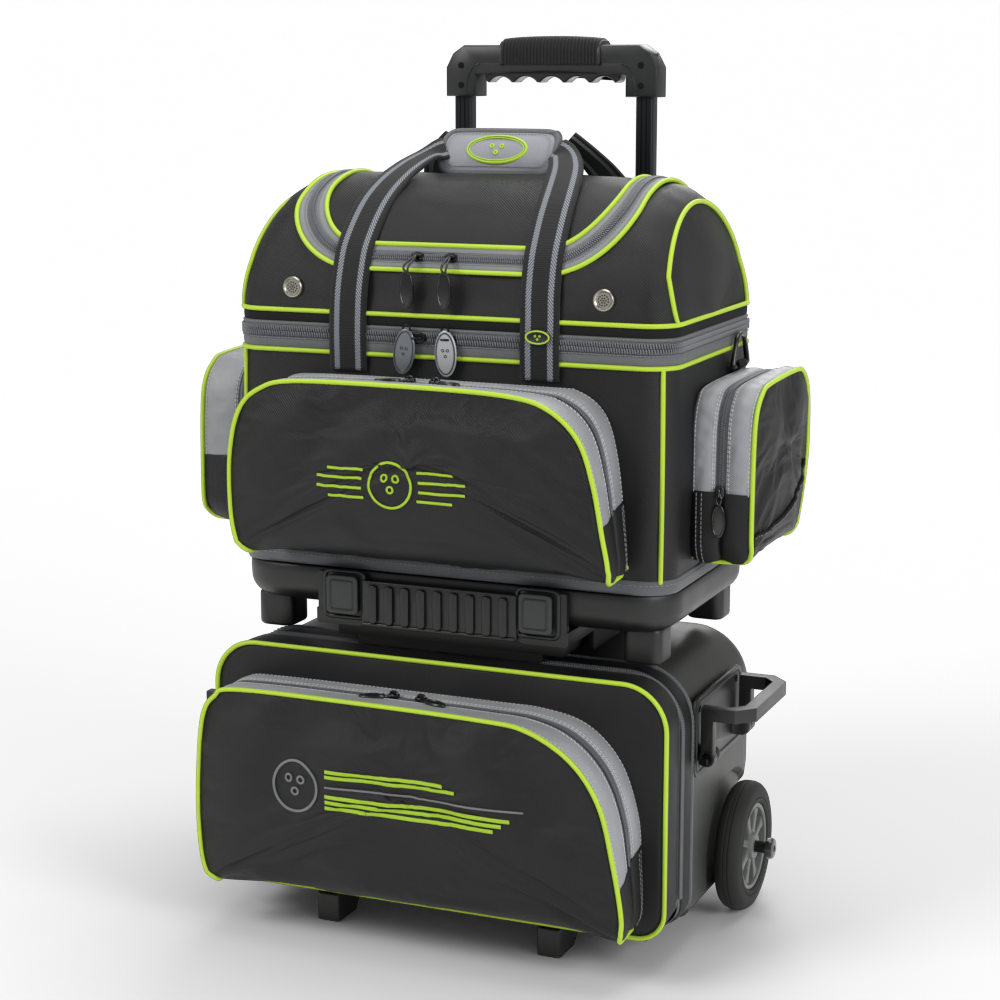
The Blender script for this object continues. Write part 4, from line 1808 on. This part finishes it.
# ------------------------------------------------------------------ tray and latch
def tray():
    """Deep tray under the tote with a rolled rim and four feet."""
    _, high = box("tote_tray")
    half, front, rear, top = high[0], box("tote_tray")[0][1], high[1], high[2]
    bottom = 314.0
    outline = rounded_loop(-half, front, half, rear, 46, 20, 3.0)
    normals = outline_normals(outline)
    profile = [(-(1 - math.sin(k)) * 22, bottom + 20 * (1 - math.cos(k)))
               for k in np.linspace(0, math.pi / 2, 14)]
    profile += [(0.2, bottom + 23), (0.4, bottom + 30), (0.2, top - 2.6), (-0.5, top - 0.9),
                (-1.8, top - 0.2), (-3.4, top - 0.6), (-4.0, top - 2), (-4.2, bottom + 24),
                (-22, bottom + 6)]
    parts = Parts()
    parts.add(loft([np.c_[outline + normals * offset, np.full(len(outline), z)]
                    for offset, z in profile]))
    for x in (-210, 172):
        for y0, y1 in ((-104, -64), (84, 120)):
            foot = rounded_loop(x, y0, x + 38, y1, 10, 8, 2)
            parts.add(slab_shape(foot, 283.2, bottom + 4, 4.0, "z", 5))
    parts.make("tote_tray_body", ["tray_plastic"], "tote", sharp=32, replaces=["tote_tray"])
    finish_cad("dock_rail", 1.6, "tray_plastic")
    finish_cad("latch_carriage", 1.4, "tray_plastic")


def latch_lever():
    """Plate with nine upright ribs and a ledge at the bottom."""
    front = box("latch_lever")[0][1]
    parts = Parts()
    parts.add(box_shape(-80, 80, -134.4, -130.8, 300.8, 345.8, 2.2))
    pitch = 16.8
    for k in range(9):
        x = -4 * pitch + k * pitch
        rib = rounded_loop(x - 4.4, 304.5, x + 4.4, 342.5, 3.2, 5, 1.3)
        parts.add(slab_shape(rib, front + 0.1, -133, 1.7, "y", 4))
    parts.add(box_shape(-79, 79, -136.4, -133, 301.4, 305, 1.2))
    parts.make("latch_lever_body", ["black_plastic"], "lever", sharp=35,
               replaces=["latch_lever"])


def latch_button(side):
    """Grey pad with a raised line on it, and the raised frame round it."""
    (x0, y0, z0), (x1, y1, z1) = box("latch_button_" + side)
    parts = Parts()
    parts.add(slab_shape(rounded_loop(x0, z0, x1, z1, 4.5, 6, 1.5), y0 + 0.2, y1, 1.5, "y", 5))
    line = rounded_loop(x0 + 4.5, z0 + 5, x1 - 4.5, z1 - 5, 3, 6, 1.5)
    line = np.insert(line, 1, y0 + 0.3, axis=1)
    parts.add(tube_shape(line, 0.9, closed=True, sides=8), 1)
    parts.make("latch_button_pad_" + side, ["pad_grey", "black_plastic"], "button_" + side,
               sharp=35, replaces=["latch_button_" + side])
    line = rounded_loop(x0 - 4.0, z0 - 4.0, x1 + 4.0, z1 + 2.8, 5, 6, 1.6)
    line = np.insert(line, 1, -130.2, axis=1)
    build("latch_frame_" + side, tube_shape(line, 2.2, closed=True)[:2], "tray_plastic", "tote")


# ------------------------------------------------------------------ pull handle
def grooved_section(x0, y0, x1, y1, radius, groove):
    """Tube section with two grooves down the front and two down the back."""
    points = [tuple(p) for p in rounded_rect(x0, y0, x1, y1, radius, 6)]
    middle = (x0 + x1) / 2
    outline = []
    for here, following in zip(points, points[1:] + points[:1]):
        outline.append(here)
        for y, way in ((y0, 1), (y1, -1)):
            level = abs(here[1] - y) < 0.01 and abs(following[1] - y) < 0.01
            if level and abs(following[0] - here[0]) > 3:
                for x in (middle - way * 2.6, middle + way * 2.6):
                    outline += [(x - way * 0.7, y), (x - way * 0.35, y + way * groove),
                                (x + way * 0.35, y + way * groove), (x + way * 0.7, y)]
    return np.array(outline)


def handle_tubes():
    # stage, body, corner radius, groove depth
    stages = (("outer", "case", 3.6, 1.1), ("mid", "handle_mid", 3.6, 0.9),
              ("inner", "handle_inner", 3.0, 0.9))
    for side, _ in SIDES:
        for stage, body, radius, groove in stages:
            node = f"tube_{stage}_{side}"
            (x0, y0, z0), (x1, y1, z1) = box(node)
            outline = grooved_section(x0, y0, x1, y1, radius, groove)
            centre = outline.mean(0)
            heights = np.r_[z0, z0 + 0.8, np.linspace(z0 + 20, z1 - 20, 8), z1 - 0.8, z1]
            rings = []
            for i, z in enumerate(heights):
                inner = 0 < i < len(heights) - 1
                ring = outline if inner else centre + (outline - centre) * 0.97
                rings.append(np.c_[ring, np.full(len(ring), z)])
            build(node + "_metal", loft(rings), "tube_metal", body, sharp=30, replaces=[node],
                  recalc=True)
            if stage != "inner":
                collar = rounded_loop(x0 - 1.4, y0 - 1.4, x1 + 1.4, y1 + 1.4, 5, 6, 1.5)
                build(node + "_collar", slab_shape(collar, z1 - 11, z1 + 0.4, 1.3, "z", 4),
                      "black_plastic", body, sharp=35, recalc=True)


def grip_housing():
    """CAD brackets and housing, with screws and a part line on its end caps."""
    finish_cad("handle_bracket_lower", 2.2, "black_plastic")
    finish_cad("handle_bracket_upper", 2.0, "black_plastic")
    finish_cad("grip_housing", 3.4, "grip_black", 4)
    low, high = box("grip_housing")
    front = low[1]
    screw = [(0.02, front - 0.5), (3.1, front - 0.5), (3.4, front + 0.1), (3.4, front + 1),
             (0.02, front + 1)]
    for side, sign in SIDES:
        parts = Parts()
        for z in (806, 826):
            parts.add(lathe_shape(screw, 24, (sign * (high[0] - 17), 0, z), "y"))
        parts.make("grip_screws_" + side, ["black_metal"], "handle_inner", sharp=35)
        line = curve([(sign * x, front - 0.05, z)
                      for x, z in ((76, 828), (84, 824), (90, 812), (91, 797))], step=2)
        tube("grip_part_line_" + side, line, 0.55, "gloss_black", "handle_inner", sides=6,
             slot="grip_rubber")


def grip_sleeve():
    """Ribbed rubber sleeve, arched and hollow below, with an end plate on each side."""
    low, high = box("grip_sleeve")
    ribs, foot = 29, 827.2
    middle, half = (low[1] + high[1]) / 2, (high[1] - low[1]) / 2
    arc = []
    for t in np.linspace(math.pi, 0, 34):
        c, s = math.cos(t), math.sin(t)
        arc.append((np.sign(c) * abs(c) ** 0.62 * half,
                    foot + (abs(s) ** 0.62) * (high[2] - foot - 0.2)))
    arc = np.array(arc)
    out = unit(arc - np.array([arc[:, 0].mean(), 838.0]))
    pitch = (high[0] - low[0]) / ribs
    rows = []
    for x in np.linspace(low[0], high[0], ribs * 10 + 1):
        phase = ((x - low[0]) % pitch) / pitch
        rib = 1.3 * (1 - min(1, abs(phase - 0.5) / 0.36) ** 3) if 0.12 < phase < 0.88 else 0.0
        arch = 4.0 * math.sqrt(max(0, 1 - (x / (high[0] + 4)) ** 2))
        ring = arc + out * (rib - 1.2)
        ring[:, 1] += np.where(arc[:, 1] > 830, arch, 0)
        rows.append(np.stack([np.full(len(ring), x), middle + ring[:, 0], ring[:, 1]], 1))
    build("grip_sleeve_rubber", sheet_shape(rows, (0, middle, 835), 2.0)[:2], "rubber_grip",
          "handle_inner", replaces=["grip_sleeve"], sharp=50, recalc=True)
    outline = np.vstack([arc, [[half - 0.5, 826.6], [-half + 0.5, 826.6]]]) + [middle, 0]
    outline = resample(outline[::-1], step=1.4, closed=True)
    for side, sign in SIDES:
        plate = slab_shape(outline, high[0] - 1.5, high[0] + 1.7, 0.8, "x", 3)
        build("grip_sleeve_end_" + side, place(plate, flip=sign), "grip_black", "handle_inner",
              sharp=40, recalc=True)


def grip_lips():
    """Lips of the bar that hide the trigger's slot."""
    parts = Parts()
    arch = [(x, 816.5 + 3.5 * (1 - (x / 80.0) ** 2)) for x in np.linspace(-81, 81, 60)]
    outline = resample(np.array(arch + [(81, 829), (-81, 829)]), step=1.5, closed=True)
    for start, end in ((143.2, 147.0), (169.0, 172.8)):
        parts.add(slab_shape(outline, start, end, 1.2, "y", 4))
    parts.make("grip_bar_lips", ["grip_black"], "handle_inner", sharp=38)


def grip_trigger():
    """Trigger bar with five scallops along its underside and rounded lower corners."""
    (x0, y0, z0), (x1, y1, z1) = box("grip_trigger")
    corner = 5
    under = []
    for x in np.linspace(x0, x1, 160):
        z = z0
        for scallop in (-56, -28, 0, 28, 56):
            if abs(x - scallop) < 13:
                z = max(z, 799.5 + math.sqrt(max(0, 15.5 ** 2 - (x - scallop) ** 2)))
        edge = min(x - x0, x1 - x)
        if edge < corner:
            z = max(z, z0 + corner - math.sqrt(max(0, corner ** 2 - (corner - edge) ** 2)))
        under.append((x, z))
    outline = under + [(x1, z1 - 1), (x1 - 2, z1), (x0 + 2, z1), (x0, z1 - 1)]
    outline = resample(np.array(outline), step=0.9, closed=True)
    build("grip_trigger_body", slab_shape(outline, y0, y1, 1.6, "y", 4), "gloss_black",
          "trigger", slot="grip_rubber", sharp=38, replaces=["grip_trigger"], recalc=True)


def inside():
    finish_cad("ball_cradle", 2.5, "foam_object")
    finish_cad("tote_ball_pad", 2.5, "foam_object")
    finish_cad("lid_floor", 0.5, "lining_object", 2)


# ------------------------------------------------------------------ cloth
def add_cloth(ob, pins, pressure):
    group = ob.vertex_groups.new(name="pin")
    group.add([int(i) for i in set(pins)], 1.0, "REPLACE")
    cloth = ob.modifiers.new("cloth", "CLOTH")
    settings = cloth.settings
    settings.vertex_group_mass = "pin"
    settings.quality = 5
    settings.mass = 0.25
    settings.tension_stiffness = 22
    settings.compression_stiffness = 10
    settings.shear_stiffness = 6
    settings.bending_stiffness = 1.6
    settings.use_pressure = True
    settings.uniform_pressure_force = pressure
    settings.shrink_min = -0.018
    settings.effector_weights.gravity = 0
    cloth.collision_settings.use_collision = False
    return cloth


def coordinates(mesh):
    co = np.zeros(len(mesh.vertices) * 3)
    mesh.vertices.foreach_get("co", co)
    return co.reshape(-1, 3)


def inflate():
    """Runs the pocket panels as cloth and keeps the result, with its travel limited."""
    jobs = []
    for ob, pins, _, travel, pressure in CLOTH:
        cloth = add_cloth(ob, pins, pressure)
        jobs.append((ob, coordinates(ob.data), travel * 0.001, cloth))
    for number in range(1, 21):
        scene.frame_set(number)
    graph = bpy.context.evaluated_depsgraph_get()
    results = []
    for ob, start, limit, _ in jobs:
        move = coordinates(ob.evaluated_get(graph).data) - start
        size = np.linalg.norm(move, axis=1, keepdims=True)
        scale = limit * np.tanh(size / limit) / np.maximum(size, 1e-9)
        results.append(start + move * np.where(size > 1e-9, scale, 0))
    for (ob, _, _, cloth), co in zip(jobs, results):
        ob.modifiers.remove(cloth)
        ob.data.vertices.foreach_set("co", co.ravel())
        ob.data.update()
    scene.frame_set(1)


def finish_panels():
    inflate()
    for ob, _, body, _, _ in CLOTH:
        solid = ob.modifiers.new("thick", "SOLIDIFY")
        solid.thickness = 0.0016
        solid.offset = -1
        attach(ob, body)


# ------------------------------------------------------------------ work laid on the panels
@functools.lru_cache(maxsize=None)
def panel_tree(name):
    me = bpy.data.objects[name].data
    return BVHTree.FromPolygons([v.co.copy() for v in me.vertices],
                                [tuple(p.vertices) for p in me.polygons])


def lay(name, across, heights, side, lift):
    """Drops places onto a panel from outside: points and normals, nan where it misses."""
    tree = panel_tree(name)
    points, normals = [], []
    for a, z in zip(np.ravel(across), np.ravel(heights)):
        if side == "front":
            start, way = Vector((a / 1000, -0.5, z / 1000)), Vector((0, 1, 0))
        else:
            sign = 1 if side == "right" else -1
            start = Vector((sign * 0.6, (a + ROW_OFFSET) / 1000, z / 1000))
            way = Vector((-sign, 0, 0))
        hit, normal, _, _ = tree.ray_cast(start, way, 0.45)
        if hit is None:
            points.append([np.nan] * 3)
            normals.append([0, -1, 0])
            continue
        normal = normal if normal.dot(way) < 0 else -normal
        spot = hit * 1000
        points.append([spot.x + normal.x * lift, spot.y - ROW_OFFSET + normal.y * lift,
                       spot.z + normal.z * lift])
        normals.append([normal.x, normal.y, normal.z])
    return np.array(points), np.array(normals)


def satin(parts, panel, path, width, index=0):
    """Satin stitch on a front panel: threads laid across a path of (x, z)."""
    pitch = 0.62
    even = resample(path, step=pitch)
    points, normals = lay(panel, even[:, 0], even[:, 1], "front", 0.55)
    hit = ~np.isnan(points[:, 0])
    if hit.sum() < 3:
        return
    points, normals = points[hit], normals[hit]
    if len(normals) > 30:
        kernel = np.hanning(25)
        kernel = kernel / kernel.sum()
        mode = "wrap" if np.linalg.norm(path[0] - path[-1]) < 1e-6 else "edge"

        def smooth(column):
            return np.convolve(np.pad(column, 12, mode=mode), kernel, "valid")

        normals = unit(np.stack([smooth(column) for column in normals.T], 1))
        points[:, 1] = np.minimum(smooth(points[:, 1]), points[:, 1] + 0.15) - 0.25
    along = unit(np.gradient(points, axis=0))
    wide = unit(np.cross(along, normals))
    parts.add(bars_shape(points, unit(wide + along * 0.12), along, normals, width,
                         pitch * 0.62, 0.75), index)


def circle(x, z, radius, count=90):
    angles = np.linspace(0, 2 * math.pi, count)
    return np.stack([x + radius * np.cos(angles), z + radius * np.sin(angles)], 1)


def level_line(x0, x1, z):
    share = np.linspace(0, 1, 30)[:, None]
    return np.array([[x0, z]]) * (1 - share) + np.array([[x1, z]]) * share


def ball_mark(parts, panel, x, z, radius, width, index=0):
    """A circle with three small circles inside."""
    satin(parts, panel, circle(x, z, radius), width, index)
    for dx, dz in ((-0.28, 0.30), (0.28, 0.30), (0.0, -0.20)):
        small = circle(x + dx * radius, z + dz * radius, radius * 0.14, 30)
        satin(parts, panel, small, width * 0.8, index)


def embroidery():
    parts, panel = Parts(), "tote_pocket_panel"
    x, z = -20.0, 452.0
    ball_mark(parts, panel, x, z, 21, 2.4)
    # lines on both sides: height, start and end from the middle
    for dz, start, end in ((13, 27, 62), (4.5, 29, 74), (-4.5, 29, 74), (-13, 27, 62)):
        for sign in (-1, 1):
            satin(parts, panel, level_line(x + sign * start, x + sign * end, z + dz), 2.6)
    parts.make("tote_pocket_mark", ["lime_thread"], "tote_pocket", recalc=False)
    parts, panel = Parts(), "lower_pocket_panel"
    x, z = -2.0, 160.0
    ball_mark(parts, panel, x - 112, z, 24, 2.6, 1)
    # lines to the right of the circle: height, end, width, material index
    for dz, end, width, index in ((19, 40, 3.4, 0), (14, 52, 3.4, 0), (4, 120, 2.0, 1),
                                  (-5, 108, 3.6, 0), (-10.5, 100, 3.6, 0), (-16, 92, 3.6, 0)):
        satin(parts, panel, level_line(x - 78, x + end, z + dz), width, index)
    parts.make("lower_pocket_mark", ["lime_thread", "thread_grey"], "lower_pocket",
               recalc=False)


# Top edge of the slip pocket on each side pocket: (y, height).
SLIP_TOP = [(-60, 401), (-30, 402), (20, 407), (70, 420), (105, 437), (136, 458)]


def slip_pocket(side):
    """Open pocket laid on the lower part of a side pocket's panel, with edge and stitches."""
    body = "side_pocket_" + side
    top = curve(SLIP_TOP, count=60)
    across = np.linspace(-48, 119, 76)
    edge = np.interp(across, top[:, 0], top[:, 1])
    rows = 26
    heights = np.array([edge * (1 - k) + 384 * k for k in np.linspace(0, 1, rows)])
    points, normals = lay(body + "_panel", np.repeat(across[None], rows, 0), heights, side, 1.5)
    grid, normals = (q.reshape(rows, len(across), 3) for q in (points, normals))
    out = np.abs(grid[..., 0])
    bad = np.isnan(out) | (out < np.nanmax(out) - 11)      # keep clear of the piped edge
    cells = ~(bad[:-1, :-1] | bad[1:, :-1] | bad[:-1, 1:] | bad[1:, 1:])
    grid = np.where(np.isnan(grid), 0.0, grid)
    if cells.sum() < 10:
        return
    sheet(body + "_slip", grid, "black_cloth", body, (0, 30, 440), 1.3, cells=cells)
    tube(body + "_slip_edge", resample(grid[0][~bad[0]], step=2.0), 1.5, "black_strip", body)
    good, out = ~bad[2], normals[2]
    stitches(body + "_slip_stitch", [((grid[2] + out * 0.5)[good], out[good])], "thread_grey",
             body, 3.6, 2.6, slot="black_fabric")


# ------------------------------------------------------------------ studio (in metres)
def studio_floor():
    """Floor with a curved rise behind."""
    half, bend, radius = 14.0, 5.0, 3.0
    profile = [(-12.0, 0.0), (bend, 0.0)]
    profile += [(bend + radius * math.sin(a), radius - radius * math.cos(a))
                for a in np.linspace(0.12, math.pi / 2, 12)]
    profile.append((8.0, 9.0))
    verts = [(x, y, z - 0.0006) for y, z in profile for x in (-half, half)]
    faces = [(2 * i, 2 * i + 1, 2 * i + 3, 2 * i + 2) for i in range(len(profile) - 1)]
    me = bpy.data.meshes.new("studio_floor")
    me.from_pydata(verts, [], faces)
    me.materials.append(MATERIALS["studio_floor"])
    for polygon in me.polygons:
        polygon.use_smooth = True
    ob = bpy.data.objects.new("studio_floor", me)
    scene.collection.objects.link(ob)
    ob.is_shadow_catcher = True
    return ob


def area_light(name, location, target, size, power, color=(1, 1, 1)):
    light = bpy.data.lights.new(name, "AREA")
    light.shape = "RECTANGLE"
    light.size = size
    light.size_y = size
    light.energy = power
    light.color = color
    ob = bpy.data.objects.new(name, light)
    ob.location = location
    way = Vector(target) - Vector(location)
    ob.rotation_euler = way.to_track_quat("-Z", "Y").to_euler()
    scene.collection.objects.link(ob)
    return ob


def white_world(ambient=0.42, backdrop=1.0):
    """White seen by the camera, dimmer white as light."""
    world = bpy.data.worlds.new("white")
    scene.world = world
    world.use_nodes = True
    tree = world.node_tree
    tree.nodes.clear()
    out = tree.nodes.new("ShaderNodeOutputWorld")
    rays = tree.nodes.new("ShaderNodeLightPath")
    shades = []
    for strength in (ambient, backdrop):
        shade = tree.nodes.new("ShaderNodeBackground")
        shade.inputs[0].default_value = (1, 1, 1, 1)
        shade.inputs[1].default_value = strength
        shades.append(shade)
    mix = tree.nodes.new("ShaderNodeMixShader")
    tree.links.new(rays.outputs["Is Camera Ray"], mix.inputs[0])
    tree.links.new(shades[0].outputs[0], mix.inputs[1])
    tree.links.new(shades[1].outputs[0], mix.inputs[2])
    tree.links.new(mix.outputs[0], out.inputs[0])


def camera():
    cam = bpy.data.cameras.new("camera")
    cam.type = "PERSP"
    cam.lens = 80.25
    cam.sensor_width = 36
    ob = bpy.data.objects.new("camera", cam)
    ob.location = (0.8488, -1.9707, 0.8286)
    ob.rotation_euler = (math.radians(78.9), 0, math.radians(23.0))
    scene.collection.objects.link(ob)
    scene.camera = ob


def studio():
    studio_floor()
    area_light("key_soft", (-1.9, -2.3, 2.6), target=(0, 0, 0.42), size=1.5, power=66,
                   color=(1, 0.99, 0.97))
    area_light("side_soft", (2.6, -1.1, 1.5), target=(0, 0, 0.4), size=1.3, power=44,
                   color=(0.98, 0.99, 1))
    area_light("top_soft", (0.2, 0.5, 3.0), target=(0, 0, 0.3), size=1.8, power=44)
    area_light("back_rim", (-0.6, 2.6, 2.0), target=(0, 0, 0.5), size=1.4, power=30)
    white_world()
    scene.view_settings.view_transform = "Standard"
    scene.view_settings.look = "None"
    camera()


# ------------------------------------------------------------------ assembly
make_materials()
case_shell()
case_front()
door()
POCKETS = make_pockets()
tote_body()
waist()
tote_rear_strip()
tote_corners()
tote_lining()
lid_cloth()
lid_zip()
lid_ends()
vents()
straps()
handle_wrap()
handle_wrap_mark()
strap_badge()
pulls(POCKETS)
for _side, _sign in SIDES:
    wheel(_side, _sign)
for _side, _sign in SIDES:
    bail(_side, _sign)
tray()
latch_lever()
for _side, _ in SIDES:
    latch_button(_side)
handle_tubes()
grip_housing()
grip_sleeve()
grip_lips()
grip_trigger()
inside()
finish_panels()
embroidery()
for _side, _ in SIDES:
    slip_pocket(_side)

# the size before finishing
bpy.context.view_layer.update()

studio()
